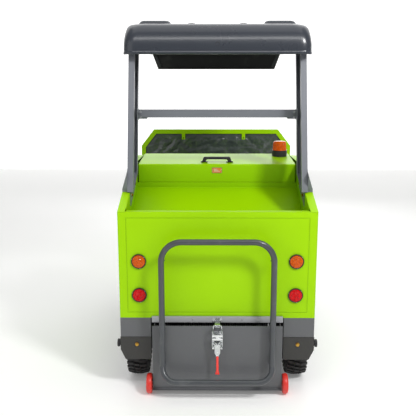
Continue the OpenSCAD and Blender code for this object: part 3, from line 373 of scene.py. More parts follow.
class Solid:
    """Collects parts of one piece as corners and faces."""

    def __init__(self) -> None:
        """Start empty."""
        self.verts: list[Vector] = []
        self.faces: list[tuple[int, ...]] = []

    def add(self, verts: Iterable[Point], faces: Iterable[Sequence[int]],
            place: Optional[Matrix] = None) -> "Solid":
        """Add a part.

        Args:
            verts: its corners.
            faces: its faces, counted from its own first corner.
            place: where it goes, if it isn't in place already.

        Returns:
            This collection.
        """
        base = len(self.verts)
        self.verts += [(place @ Vector(v)) if place else Vector(v) for v in verts]
        self.faces += [tuple(base + i for i in f) for f in faces]
        return self

    def rings(self, rings: Sequence[Sequence[Point]], place: Optional[Matrix] = None, closed: bool = True,
              caps: bool = True, loop: bool = False) -> "Solid":
        """Add a skin over rings that all have the same number of corners.

        Args:
            rings: the rings in order.
            place: where the skin goes.
            closed: whether each ring closes on itself.
            caps: whether the first and last ring get a face.
            loop: whether the last ring joins the first.

        Returns:
            This collection.
        """
        n = len(rings[0])
        faces: list[tuple[int, ...]] = []
        rows = len(rings) if loop else len(rings) - 1
        for i in range(rows):
            j = (i + 1) % len(rings)
            for k in range(n if closed else n - 1):
                m = (k + 1) % n
                faces.append((i * n + k, i * n + m, j * n + m, j * n + k))
        if caps and not loop:
            faces.append(tuple(range(n))[::-1])
            faces.append(tuple((len(rings) - 1) * n + k for k in range(n)))
        return self.add([p for ring in rings for p in ring], faces, place)

    def block(self, low: Point, high: Point, bevel: float = 0.0, place: Optional[Matrix] = None) -> "Solid":
        """Add a block with bevelled long and short edges.

        Args:
            low: its lowest corner.
            high: its highest corner.
            bevel: how far its edges are cut back.
            place: where it goes.

        Returns:
            This collection.
        """
        work = bmesh.new()
        bmesh.ops.create_cube(work, size=1.0)
        size = Vector(high) - Vector(low)
        middle = (Vector(high) + Vector(low)) / 2
        for v in work.verts:
            v.co = Vector([v.co[i] * size[i] + middle[i] for i in range(3)])
        if bevel > 0:
            bmesh.ops.bevel(work, geom=work.edges[:], offset=min(bevel, min(size) * 0.45), segments=2,
                            profile=0.7, affect="EDGES")
        work.verts.index_update()
        self.add([v.co.copy() for v in work.verts], [[v.index for v in f.verts] for f in work.faces], place)
        work.free()
        return self

    def lathe(self, profile: Sequence[Point], steps: int = 48, place: Optional[Matrix] = None,
              wave: Optional[Callable[[float, float, float], float]] = None) -> "Solid":
        """Add a turned part round its own Z axis.

        Args:
            profile: (radius, height) points from one end to the other.
            steps: corners round the axis.
            place: where it goes.
            wave: changes the radius by (angle, radius, height).

        Returns:
            This collection.
        """
        rings = []
        for r, z in profile:
            ring = []
            for k in range(steps):
                a = math.tau * k / steps
                q = max(r, 1e-5) + (wave(a, r, z) if wave else 0.0)
                ring.append((q * math.cos(a), q * math.sin(a), z))
            rings.append(ring)
        return self.rings(rings, place)

    def tube(self, path: Sequence[Point], radius: float, sides: int = 12, loop: bool = False,
             place: Optional[Matrix] = None) -> "Solid":
        """Add a round tube along a path.

        Args:
            path: the centreline's points.
            radius: the tube's radius.
            sides: corners round it.
            loop: whether the path closes on itself.
            place: where it goes.

        Returns:
            This collection.
        """
        points = [Vector(p) for p in path]
        count = len(points)
        normal = Vector((0, 0, 1))
        rings = []
        for i, p in enumerate(points):
            before = points[(i - 1) % count] if (loop or i > 0) else p
            after = points[(i + 1) % count] if (loop or i < count - 1) else p
            way = (after - before).normalized()
            normal = normal - way * normal.dot(way)
            if normal.length < 1e-4:
                normal = way.orthogonal()
            normal.normalize()
            side = way.cross(normal)
            rings.append([p + radius * (math.cos(math.tau * k / sides) * normal
                                        + math.sin(math.tau * k / sides) * side) for k in range(sides)])
        return self.rings(rings, place, loop=loop)

    def piece(self, name: str, body: str, finish, slot: str, smooth: bool = True,
              replaces: Sequence[str] = ()) -> bpy.types.Object:
        """Make the collection one piece that rides on a body.

        Args:
            name: the piece's name.
            body: the body it rides on.
            finish: its finish.
            slot: the name of the record's slot; not used.
            smooth: whether it is shaded smooth.
            replaces: frame nodes that it stands for.

        Returns:
            The new object.
        """
        made = mesh_object(name, self.verts, self.faces, finish, smooth)
        if smooth:
            soften(made, 0.0)
        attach(made, body)
        if replaces:
            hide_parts(*replaces)
        log.info("%s rides on %s: %d faces", name, body, len(self.faces))
        return made


def soften(obj: bpy.types.Object, width: float, angle: float = 35.0, segments: int = 2) -> None:
    """Round an object's sharp edges and shade what is left smooth.

    Args:
        obj: the object.
        width: how far the edges are rounded, or 0 for shading alone.
        angle: edges sharper than this many degrees are rounded.
        segments: steps across each rounding.
    """
    if width > 0:
        weld = obj.modifiers.new("weld", "WELD")
        weld.merge_threshold = 0.00002
        bevel = obj.modifiers.new("rounding", "BEVEL")
        bevel.width = width
        bevel.segments = segments
        bevel.limit_method = "ANGLE"
        bevel.angle_limit = math.radians(angle)
        bevel.use_clamp_overlap = True
        bevel.harden_normals = False
    obj.data.polygons.foreach_set("use_smooth", [True] * len(obj.data.polygons))
    mesh = obj.data
    if width <= 0:
        mesh.set_sharp_from_angle(angle=math.radians(angle))
    else:
        normals = obj.modifiers.new("facing", "WEIGHTED_NORMAL")
        normals.keep_sharp = False
        normals.weight = 60


def dress(nodes: Sequence[str], finish, rounding_mm: float = 0.0, angle: float = 35.0) -> None:
    """Give frame nodes a finish and soft edges.

    Args:
        nodes: the nodes' names.
        finish: the finish they all get.
        rounding_mm: how far their edges are rounded.
        angle: edges sharper than this many degrees are rounded.
    """
    for name in nodes:
        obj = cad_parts[name]
        obj.data.materials.clear()
        obj.data.materials.append(finish.material())
        obj.data.polygons.foreach_set("material_index", [0] * len(obj.data.polygons))
        soften(obj, rounding_mm * MM, angle)
        log.info("%s is dressed in %s", name, finish.name)


def turned(where: Point, towards: Point) -> Matrix:
    """Placement whose own +Z looks along a direction.

    Args:
        where: the placement's origin.
        towards: the direction of its +Z.

    Returns:
        The placement.
    """
    spin = Vector((0, 0, 1)).rotation_difference(Vector(towards).normalized())
    return Matrix.Translation(Vector(where)) @ spin.to_matrix().to_4x4()


def arc(centre: Point, radius: float, start: float, stop: float, steps: int,
        across: Vector = Vector((1, 0, 0)), up: Vector = Vector((0, 0, 1))) -> list[Vector]:
    """Points along an arc, with its angles in degrees.

    Args:
        centre: the arc's centre.
        radius: its radius.
        start: its first angle, counted from across towards up.
        stop: its last angle.
        steps: how many stretches it has.
        across: the direction of angle 0.
        up: the direction of angle 90.

    Returns:
        The points.
    """
    middle_point = Vector(centre)
    turns = [math.radians(start + (stop - start) * i / steps) for i in range(steps + 1)]
    return [middle_point + radius * (math.cos(a) * across + math.sin(a) * up) for a in turns]


def hex_bolt(solid: Solid, where: Point, towards: Point, across: float, head: float,
             washer: bool = True) -> None:
    """Add a hexagon bolt head with a chamfer, and a washer under it.

    Args:
        solid: the collection it goes into.
        where: the middle of its seat.
        towards: the way that its head looks.
        across: its width across corners.
        head: its head's height.
        washer: whether it has a washer.
    """
    place = turned(where, towards)
    base = 0.0
    if washer:
        solid.lathe([(across * 0.3, 0.0), (across * 0.62, 0.0), (across * 0.62, WASHER),
                     (across * 0.3, WASHER)],
                    24, place)
        base = WASHER
    rings = []
    for r, z in ((0.5, base), (0.5, base + head * 0.8), (0.44, base + head), (0.2, base + head)):
        rings.append([(across * r * math.cos(math.tau * (k + 0.5) / 6),
                       across * r * math.sin(math.tau * (k + 0.5) / 6), z)
                      for k in range(6)])
    solid.rings(rings, place)


# ---------------------------------------------------------------- studio

@dataclass
class Studio:
    """Pale floor, soft lights and the camera behind the machine."""

    distance: float = 3.17
    height: float = 1.70
    aside: float = -0.03
    pitch_deg: float = 11.2
    turn_deg: float = 0.41
    lens_mm: float = 51.3
    floor_half_m: float = 14.0
    backdrop_y_m: float = 9.0
    world_strength: float = 0.36
    aim: tuple[float, float, float] = (0.0, 0.0, 0.9)

    def build(self) -> None:
        """Make the camera, the lights and the floor."""
        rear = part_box("rear_panel")[0].y
        lens = bpy.data.cameras.new("view_from_behind")
        lens.lens = self.lens_mm
        lens.sensor_width = 36.0
        camera = bpy.data.objects.new("view_from_behind", lens)
        camera.location = (self.aside, rear - self.distance, self.height)
        camera.rotation_euler = (math.radians(90 - self.pitch_deg), 0.0, math.radians(self.turn_deg))
        bpy.context.scene.collection.objects.link(camera)
        bpy.context.scene.camera = camera
        self._light("key", (2.9, rear - 3.0, 4.6), 0.8, 180.0)
        self._light("fill", (-3.4, rear - 2.6, 2.6), 3.5, 26.0)
        self._light("top", (0.0, 0.4, 5.2), 4.0, 40.0)
        self._light("front", (0.6, 4.4, 3.0), 3.5, 50.0)
        strip = self._light("strip", (0.2, rear - 2.2, 4.3), 3.4, 34.0)
        strip.shape = "RECTANGLE"
        strip.size_y = 0.45
        self._room()
        log.info("studio ready")

    def _light(self, name: str, where: Point, size: float, power: float) -> bpy.types.AreaLight:
        """Add one square soft light that looks at the machine."""
        lamp = bpy.data.lights.new(name, "AREA")
        lamp.size = size
        lamp.energy = power
        obj = bpy.data.objects.new(name, lamp)
        obj.location = where
        obj.rotation_euler = (Vector(where) - Vector(self.aim)).to_track_quat("Z", "Y").to_euler()
        bpy.context.scene.collection.objects.link(obj)
        return lamp

    def _room(self) -> None:
        """Make the floor and the even light of a pale room."""
        side = self.floor_half_m
        floor = mesh_object("floor",
                            [(-side, -side, 0), (side, -side, 0), (side, side, 0), (-side, side, 0)],
                            [(0, 1, 2, 3)], Finish("pale_floor", "#F4F4F3", "#F1F1F0", 0.75, 3.0, 0.02,
                                                   patch_mm=3000, dust="#EFEFEE", glow=0.16), False)
        back_y = self.backdrop_y_m
        paper = mesh_object("backdrop", [(-side, back_y, -0.5), (side, back_y, -0.5), (side, back_y, side),
                                         (-side, back_y, side)], [(0, 1, 2, 3)],
                            Finish("lit_backdrop_paper", "#FFFFFF", "#FDFDFD", 0.9, 3.0, 0.02,
                                   patch_mm=4000,
                                   dust="#FFFFFF", glow=0.62), False)
        world = bpy.data.worlds.new("pale_room")
        world.use_nodes = True
        back = world.node_tree.nodes["Background"]
        back.inputs["Color"].default_value = (1.0, 1.0, 1.0, 1.0)
        back.inputs["Strength"].default_value = self.world_strength
        bpy.context.scene.world = world
        bpy.context.scene.view_settings.view_transform = "Standard"


# ---------------------------------------------------------------- sub-assemblies

@dataclass
class Bodywork:
    """Green panels, skirts, bumpers and what is screwed to them."""

    plate_rounding_mm: float = 1.0

    def build(self) -> None:
        """Dress the panels."""
        dress(["side_panels", "rear_panel", "tub_liner", "bulkhead"], LIME_COAT, 1.2)
        dress(["hood_lid"], LIME_COAT, 2.0)
        dress(["front_cowl", "front_shield"], LIME_COAT, 2.5, 30.0)
        dress(["skirts"], GREY_COAT, self.plate_rounding_mm)
        dress(["bumpers"], DARK_COAT, 2.0)
        dress(["header_strip"], STRIP_COAT, 1.5)
        dress(["bolts"], YELLOW_ZINC, 0.6)
        dress(["side_knobs", "hood_grip", "tail_lamp_bezels", "beacon_base"], BLACK_NYLON, 1.5)
        dress(["hood_label"], LABEL_VINYL, 0.4)
        dress(["amber_lenses", "beacon_lens"], AMBER_ACRYLIC)
        dress(["red_lenses"], RED_ACRYLIC)
        dress(["filter_box", "battery_pack"], CASE_PLASTIC, 4.0)
        dress(["chassis_frame", "deck_plate", "floor_pan", "seat_box", "steering_console", "front_fork",
               "broom_housing", "canopy_frame"], CHASSIS_COAT, 1.5)
        dress(["posts", "crossbar"], POST_COAT, 1.2)
        dress(["canopy_shell", "canopy_visor"], CANOPY_PLASTIC, 3.0, 30.0)
        dress(["shield_film"], CANOPY_PLASTIC)
        dress(["seat_cushion", "seat_back"], SEAT_VINYL, 15.0)
        dress(["seat_slides", "brush_arm_left", "brush_arm_right"], ZINC, 1.0)
        dress(["steering_wheel", "pedal_go", "pedal_brake", "bin_roller_left", "bin_roller_right"],
              BLACK_NYLON, 1.0)
        dress(["front_tyre", "rear_wheel_left", "rear_wheel_right"], TYRE_RUBBER, 1.0)
        dress(["front_rim"], ZINC, 1.0)
        dress(["main_broom", "side_brush_left", "side_brush_right"], BRISTLE)
        dress(["dust_bin"], GREY_COAT, 1.0)
        dress(["bin_handle"], HANDLE_COAT, 0.0)
        dress(["bin_wheel_left", "bin_wheel_right"], RED_URETHANE, 0.8)
        dress(["latch_keeper", "latch_base", "latch_lever", "latch_hook"], ZINC, 0.6)
        dress(["latch_grip"], RED_VINYL, 1.5)


@dataclass
class ShieldFilm:
    """Crinkled film stretched inside the front shield's frame."""

    columns: int = 150
    rows: int = 104
    crease_m: float = 0.0075
    slack: float = 0.16

    def build(self) -> None:
        """Make the film."""
        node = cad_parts["shield_film"]
        low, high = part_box("shield_film")
        corners = {(round(v.co.x, 4), round(v.co.z, 4)) for v in node.data.vertices}
        level = (low.y + high.y) / 2
        verts, faces = [], []
        for j in range(self.rows + 1):
            z = low.z + (high.z - low.z) * j / self.rows
            half = self._half_width(corners, z)
            for i in range(self.columns + 1):
                u = 2 * i / self.columns - 1
                edge = min(1.0, (1 - abs(u)) * half / 0.05, (z - low.z) / 0.05, (high.z - z) / 0.05)
                verts.append((u * half, level + self._crease(u * half, z) * max(0.0, edge), z))
        for j in range(self.rows):
            for i in range(self.columns):
                a = j * (self.columns + 1) + i
                faces.append((a, a + 1, a + self.columns + 2, a + self.columns + 1))
        film = mesh_object("crinkled_film", verts, faces, FILM)
        thick = film.modifiers.new("thickness", "SOLIDIFY")
        thick.thickness = 0.0005
        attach(film, "chassis")
        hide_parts("shield_film")

    @staticmethod
    def _half_width(corners: set[tuple[float, float]], z: float) -> float:
        """Half the outline's width at a height."""
        right = sorted((p for p in corners if p[0] > 0), key=lambda p: p[1])
        for a, b in zip(right, right[1:]):
            if a[1] <= z <= b[1] and b[1] > a[1]:
                return a[0] + (b[0] - a[0]) * (z - a[1]) / (b[1] - a[1])
        return right[0][0]

    def _crease(self, x: float, z: float) -> float:
        """How far the film stands out of its plane at a point."""
        total = 0.0
        for scale, size, lean in ((5.0, 1.0, 0.5), (11.0, 0.6, -0.7), (24.0, 0.3, 0.3), (48.0, 0.14, -0.2)):
            p = Vector((x * scale + z * lean * scale, z * scale * 1.6, scale))
            total += size * (0.62 - abs(noise.noise(p)) * 2.6)
        return self.crease_m * total - self.slack * 0.02 * math.cos(x * 2.6)


@dataclass
class TailLamps:
    """Amber and red rear lamps with moulded prisms and a reflector behind them."""

    rings: int = 7
    flutes: int = 36

    def build(self) -> None:
        """Make the lenses of both colours and the reflectors behind them."""
        self._lenses("amber_lamp_lenses", "amber_lenses", AMBER_ACRYLIC, "amber_lens")
        self._lenses("red_lamp_lenses", "red_lenses", RED_ACRYLIC, "red_lens")
        bright = Solid()
        screws = Solid()
        for node in ("amber_lenses", "red_lenses"):
            low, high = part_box(node)
            radius = (high.z - low.z) / 2
            for side in (-1, 1):
                where = (side * (high.x - radius), high.y - 0.001, (low.z + high.z) / 2)
                bright.lathe([(radius * 0.96, 0.0005), (radius * 0.9, 0.003), (radius * 0.5, 0.0012),
                              (0.0, 0.001)],
                             32, turned(where, (0, -1, 0)))
                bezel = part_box("tail_lamp_bezels")
                ring = (bezel[1].x - high.x) + radius
                for a in (40, 160, 280):
                    at = Vector(where) + 0.975 * ring * Vector((math.cos(math.radians(a)), 0,
                                                                math.sin(math.radians(a))))
                    at.y = bezel[0].y
                    screws.lathe([(0.0018, 0.0), (0.0018, 0.0006), (0.0008, 0.001), (0.0, 0.001)], 12,
                                 turned(at, (0, -1, 0)))
        bright.piece("lamp_reflectors", "chassis", REFLECTOR, "zinc")
        screws.piece("lamp_screws", "chassis", ZINC, "zinc")

    def _lenses(self, name: str, node: str, finish: LensFinish, slot: str) -> None:
        """Make one colour's pair of lenses.

        Args:
            name: the piece's name.
            node: the frame node it stands for.
            finish: the lens finish.
            slot: the record's slot.
        """
        low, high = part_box(node)
        radius = (high.z - low.z) / 2
        depth = high.y - low.y
        wall = 0.0022
        outer = [(radius, 0.0), (radius, depth * 0.45)]
        for i in range(self.rings * 2, -1, -1):
            r = radius * 0.965 * i / (self.rings * 2)
            dome = depth * (0.52 + 0.46 * math.sqrt(max(0.0, 1 - (r / radius) ** 2)))
            outer.append((r, dome - (0.0009 if i % 2 and i > 2 else 0.0)))
        inner = [(0.0, depth * 0.98 - wall * 1.4), (radius * 0.6, depth * 0.82 - wall),
                 (radius - wall, depth * 0.4),
                 (radius - wall, 0.0)]

        def flute(angle: float, r: float, z: float) -> float:
            """Shallow flutes on the lens's inner face."""
            return 0.0006 * math.cos(angle * self.flutes) if z < depth * 0.9 and r < radius * 0.9 else 0.0

        solid = Solid()
        for side in (-1, 1):
            where = (side * (high.x - radius), high.y, (low.z + high.z) / 2)
            solid.lathe(outer + inner, 72, turned(where, (0, -1, 0)), flute)
        solid.piece(name, "chassis", finish, slot, replaces=[node])


@dataclass
class Beacon:
    """Amber beacon on the hood: a fluted lens over a bright bulb."""

    flutes: int = 40

    def build(self) -> None:
        """Make the lens, the bulb holder and the base's clamp ring."""
        low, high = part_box("beacon_lens")
        centre = (low + high) / 2
        radius = (high.x - low.x) / 2
        tall = high.z - low.z
        steps = 14
        outer = [(radius, 0.0), (radius, 0.004)]
        for i in range(steps + 1):
            t = i / steps
            outer.append((radius * (0.955 - 0.07 * t) + (0.0008 if i % 2 else 0.0),
                          0.005 + (tall * 0.86 - 0.005) * t))
        outer += [(radius * 0.84, tall * 0.93), (radius * 0.74, tall * 0.98), (radius * 0.5, tall),
                  (0.0, tall)]
        inner = [(0.0, tall - 0.003), (radius * 0.72, tall * 0.95), (radius * 0.8, tall * 0.86),
                 (radius * 0.88, 0.004), (radius * 0.88, 0.0)]

        def flute(angle: float, r: float, z: float) -> float:
            """Upright flutes on the lens."""
            if 0.004 < z < tall * 0.9 and r > radius * 0.75:
                return 0.0007 * math.cos(angle * self.flutes)
            return 0.0

        at = Matrix.Translation((centre.x, centre.y, low.z))
        Solid().lathe(outer + inner, 160, at, flute).piece(
            "beacon_fluted_lens", "hood", AMBER_ACRYLIC, "amber_lens", replaces=["beacon_lens"])
        holder = Solid()
        holder.lathe([(radius * 0.8, 0.0), (radius * 0.8, 0.004), (radius * 0.3, 0.006),
                      (radius * 0.3, 0.016),
                      (radius * 0.62, 0.02), (radius * 0.72, 0.036), (radius * 0.7, 0.037),
                      (radius * 0.24, 0.02),
                      (0.0, 0.019)], 36, at)
        holder.piece("beacon_reflector", "hood", REFLECTOR, "zinc")
        base_low, base_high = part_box("beacon_base")
        collar = Solid()
        ring = (base_high.x - base_low.x) / 2
        collar.lathe([(ring * 0.9, 0.0), (ring + 0.0004, 0.001), (ring + 0.0004, 0.007),
                      (ring * 0.97, 0.009),
                      (ring * 0.9, 0.009)], 64,
                     Matrix.Translation((centre.x, centre.y, base_high.z - 0.0088)))
        collar.piece("beacon_clamp_ring", "hood", BLACK_NYLON, "black_plastic")


@dataclass
class DustBinDetails:
    """Folds, weld beads, red wheels and rollers of the roll-out bin."""

    bead_m: float = 0.0032
    scallops: int = 26

    def build(self) -> None:
        """Make the bin's own pieces."""
        self._folds()
        self._welds()
        for side in ("left", "right"):
            self._wheel(side)
            self._roller(side)

    def _folds(self) -> None:
        """Rolled lip along the bin's lower edge."""
        low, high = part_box("dust_bin")
        face = self._face_y(high)
        trim = Solid()
        half = self._face_half(high) - 0.002
        trim.rings([[(x, face - 0.0012, low.z + 0.001), (x, face - 0.0085, low.z + 0.0035),
                     (x, face - 0.0098, low.z + 0.0085), (x, face - 0.0068, low.z + 0.0125),
                     (x, face - 0.0008, low.z + 0.014), (x, face + 0.0006, low.z + 0.012)]
                    for x in (-half, -half * 0.5, 0.0, half * 0.5, half)])
        trim.piece("bin_folded_lip", "bin", GREY_COAT, "grey_paint")

    @staticmethod
    def _face_y(high: Vector) -> float:
        """Where the bin's rear face lies: the rear wall's outer plane."""
        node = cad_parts["dust_bin"]
        levels = sorted(v.co.y for v in node.data.vertices if v.co.z > high.z - 0.03)
        return levels[0]

    @staticmethod
    def _face_half(high: Vector) -> float:
        """Half the width of the bin's rear face, without the wheel brackets."""
        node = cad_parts["dust_bin"]
        return max(v.co.x for v in node.data.vertices if v.co.z > high.z - 0.03)

    def _welds(self) -> None:
        """Weld beads where the handle tube is joined to itself and to the bin."""
        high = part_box("bin_handle")[1]
        radius = self._tube_radius()
        beads = Solid()
        for side in (-1, 1):
            x = side * (high.x - radius)
            for z, y in ((high.z - radius - 0.11, high.y - radius), (0.198, high.y - radius)):
                self._bead(beads, (x, y, z), radius, (0, 0, 1))
        beads.piece("handle_weld_beads", "bin", HANDLE_COAT, "handle_paint")

    @staticmethod
    def _tube_radius() -> float:
        """Radius of the handle tube, from its top bar."""
        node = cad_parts["bin_handle"]
        top = max(v.co.z for v in node.data.vertices)
        ys = [v.co.y for v in node.data.vertices if v.co.z > top - 0.05 and abs(v.co.x) < 0.2]
        return (max(ys) - min(ys)) / 2 if ys else 0.0165

    def _bead(self, solid: Solid, where: Point, radius: float, way: Point) -> None:
        """Add one rippled bead round a tube.

        Args:
            solid: what the bead is added to.
            where: the bead's centre.
            radius: the tube's radius.
            way: the tube's direction.
        """
        place = turned(where, way)
        rings = []
        steps = self.scallops * 3
        for k in range(steps):
            a = math.tau * k / steps
            swell = self.bead_m * (0.82 + 0.22 * math.cos(a * self.scallops))
            ring = []
            for m in range(8):
                b = math.tau * m / 8
                ring.append(((radius + swell * 0.55 * math.cos(b)) * math.cos(a),
                             (radius + swell * 0.55 * math.cos(b)) * math.sin(a), swell * math.sin(b)))
            rings.append(ring)
        solid.rings(rings, place, loop=True)

    def _wheel(self, side: str) -> None:
        """Make one red wheel: moulded centre with spokes, cast tread, axle nut.

        Args:
            side: left or right.
        """
        node = f"bin_wheel_{side}"
        low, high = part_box(node)
        centre = (low + high) / 2
        r, w = (high.z - low.z) / 2, (high.x - low.x) / 2
        place = turned(centre, (1, 0, 0))
        tread = Solid()
        crown = [(r * (0.76 + 0.24 * math.cos(a) ** 0.8), w * 0.93 * math.sin(a))
                 for a in (math.radians(-88 + 11 * k) for k in range(17))]
        tread.lathe([(r * 0.70, -w * 0.86)] + crown + [(r * 0.70, w * 0.86), (r * 0.68, 0.0),
                                                       (r * 0.70, -w * 0.86)],
                    72, place)
        tread.piece(f"bin_wheel_tread_{side}", f"bin_{side}_wheel", RED_URETHANE, "red_plastic",
                    replaces=[node])
        hub = Solid()
        hub.lathe([(0.0068, -w * 0.98), (r * 0.24, -w * 0.98), (r * 0.27, -w * 0.9), (r * 0.27, -w * 0.5),
                   (r * 0.31, -w * 0.34), (r * 0.62, -w * 0.34), (r * 0.63, -w * 0.8),
                   (r * 0.705, -w * 0.84),
                   (r * 0.705, w * 0.84), (r * 0.63, w * 0.8), (r * 0.62, w * 0.34), (r * 0.31, w * 0.34),
                   (r * 0.27, w * 0.5), (r * 0.27, w * 0.9), (r * 0.24, w * 0.98), (0.0068, w * 0.98)],
                  48, place)
        for k in range(8):
            turn = place @ Matrix.Rotation(math.tau * k / 8, 4, "Z")
            for end in (-1, 1):
                hub.block((r * 0.26, -0.0022, min(end * w * 0.34, end * w * 0.74)),
                          (r * 0.64, 0.0022, max(end * w * 0.34, end * w * 0.74)), 0.0008, turn)
        hub.piece(f"bin_wheel_hub_{side}", f"bin_{side}_wheel", RED_NYLON, "red_plastic")

    def _roller(self, side: str) -> None:
        """Make one front roller with its rounded tread.

        Args:
            side: left or right.
        """
        node = f"bin_roller_{side}"
        low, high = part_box(node)
        r, w = (high.z - low.z) / 2, (high.x - low.x) / 2
        solid = Solid()
        solid.lathe([(0.0066, -w), (r * 0.34, -w), (r * 0.4, -w * 0.72), (r * 0.74, -w * 0.7),
                     (r * 0.82, -w * 0.94),
                     (r * 0.95, -w * 0.88), (r, -w * 0.5), (r, w * 0.5), (r * 0.95, w * 0.88),
                     (r * 0.82, w * 0.94),
                     (r * 0.74, w * 0.7), (r * 0.4, w * 0.72), (r * 0.34, w), (0.0066, w)], 48,
                    turned((low + high) / 2, (1, 0, 0)))
        solid.piece(f"bin_roller_moulding_{side}", f"bin_{side}_roller", BLACK_NYLON, "black_plastic",
                    replaces=[node])


@dataclass
class ToggleLatch:
    """Over-centre latch: threaded draw rods, clamp block, pressed lever and dipped grip."""

    pitch: float = 0.0014
    rod_x: float = 0.0230
    rod_r: float = 0.0034
    grip_deep: float = 0.0062

    def build(self) -> None:
        """Make the latch's groups in order."""
        self._base()
        self._rods()
        self._lever()
        self._grip()
        self._keeper()

    @staticmethod
    def _plate(solid: Solid, outline: Sequence[Point], level: float, thick: float) -> None:
        """Add an upright plate that faces the rear, with its edges eased.

        Args:
            solid: the collection it goes into.
            outline: (x, z) points.
            level: its rear face's station.
            thick: its thickness.
        """
        cx = sum(p[0] for p in outline) / len(outline)
        cz = sum(p[1] for p in outline) / len(outline)
        rings = []
        for depth, shrink in ((0.0, 0.0006), (0.0005, 0.0), (thick - 0.0005, 0.0), (thick, 0.0006)):
            rings.append([(p[0] - math.copysign(shrink, p[0] - cx), level + depth,
                           p[1] - math.copysign(shrink, p[1] - cz))
                          for p in outline])
        solid.rings(rings)

    @staticmethod
    def _side(solid: Solid, outline: Sequence[Point], x: float, thick: float) -> None:
        """Add an upright plate that faces sideways.

        Args:
            solid: the collection it goes into.
            outline: (y, z) points.
            x: its inner face.
            thick: its thickness, away from the middle.
        """
        ends = (x, x + math.copysign(thick, x))
        solid.rings([[(e, p[0], p[1]) for p in outline] for e in ends])

    def _base(self) -> None:
        """Make the base plate with its cheeks and screws."""
        low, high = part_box("latch_base")
        level = high.y - 0.0036
        w, z0, z1 = high.x, low.z, high.z
        base = Solid()
        self._plate(base,
                    [(-w, z0 + 0.004), (-w + 0.004, z0), (w - 0.004, z0), (w, z0 + 0.004), (w, z1 - 0.004),
                           (w - 0.004, z1), (-w + 0.004, z1), (-w, z1 - 0.004)], level, 0.0036)
        pivot_y, pivot_z = low.y + 0.0075, (z0 + z1) / 2 - 0.016
        cheek = [(level + 0.001, pivot_z - 0.0115)] + [
            (pivot_y - 0.0072 * math.cos(math.radians(a)), pivot_z + 0.0105 * math.sin(math.radians(a)))
            for a in range(-80, 81, 16)] + [(level + 0.001, pivot_z + 0.0115)]
        inner = self._cheek()
        for side in (-1, 1):
            self._side(base, cheek, side * inner, 0.0028)
            for z in (z0 + 0.009, z1 - 0.009):
                hex_bolt(base, (side * (w - 0.0072), level, z), (0, -1, 0), 0.0086, 0.0036)
        base.piece("latch_pressed_base", "bin", ZINC, "zinc", replaces=["latch_base"])

    @staticmethod
    def _cheek() -> float:
        """Inner face of the base's cheeks: clear of the lever between them."""
        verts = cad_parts["latch_base"].data.vertices
        low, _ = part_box("latch_base")
        near = [abs(v.co.x) for v in verts if v.co.y < low.y + 0.012]
        return min(near)

    def _rods(self) -> None:
        """Make the threaded rods, their bridge, nuts, clamp block and trunnion."""
        low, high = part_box("latch_hook")
        y = (low.y + high.y) / 2
        x, r = self.rod_x, self.rod_r
        z0, z1 = low.z + 0.008, high.z - 0.0035
        rods = Solid()
        for side in (-1, 1):
            profile = [(r, 0.0)]
            k = 0
            while k * self.pitch < z1 - z0 - 0.02:
                profile += [(r, k * self.pitch + 0.0003), (r - 0.0006, (k + 0.5) * self.pitch)]
                k += 1
            profile += [(r, z1 - z0 - 0.016)]
            rods.lathe(profile, 20, Matrix.Translation((side * x, y, z0)))
        bend = 0.010
        path = [Vector((x, y, z1 - 0.018))] + arc((x - bend, y, z1 - bend), bend, 0, 90, 6) \
            + arc((-x + bend, y, z1 - bend), bend, 90, 180, 6) + [Vector((-x, y, z1 - 0.018))]
        rods.tube(path, r, 14)
        for side in (-1, 1):
            for z in (z0 + 0.026, z0 + 0.040, z0 + 0.083):
                hex_bolt(rods, (side * x, y, z), (0, 0, 1), 0.0112, 0.0052, False)
        rods.piece("latch_threaded_rods", "hook", ZINC, "zinc", replaces=["latch_hook"])
        block = Solid()
        block.block((-x - 0.0062, y - 0.0058, z0 + 0.048), (x + 0.0062, y + 0.0058, z0 + 0.060), 0.0014)
        block.block((-x - 0.0062, y - 0.0058, z0 + 0.068), (x + 0.0062, y + 0.0058, z0 + 0.080), 0.0014)
        block.block((-0.0075, y - 0.0052, z0 + 0.058), (0.0075, y + 0.0052, z0 + 0.070), 0.0012)
        for side in (-1, 1):
            block.lathe([(0.0026, 0.0), (0.0026, 0.001), (0.0012, 0.0014), (0.0, 0.0014)], 16,
                        turned((side * 0.012, y - 0.0057, z0 + 0.074), (0, -1, 0)))
        block.piece("latch_clamp_block", "hook", BRIGHT_STEEL, "zinc")
        pin = Solid()
        pin.lathe([(0.0, -x - 0.0062), (0.0052, -x - 0.0060), (0.0062, -x - 0.0050), (0.0062, -x + 0.004),
                   (0.0034, -x + 0.0045), (0.0034, x - 0.0045), (0.0062, x - 0.004), (0.0062, x + 0.0050),
                   (0.0052, x + 0.0060), (0.0, x + 0.0062)], 28, turned((0.0, y, z0), (1, 0, 0)))
        pin.piece("latch_trunnion", "hook", BRIGHT_STEEL, "zinc")

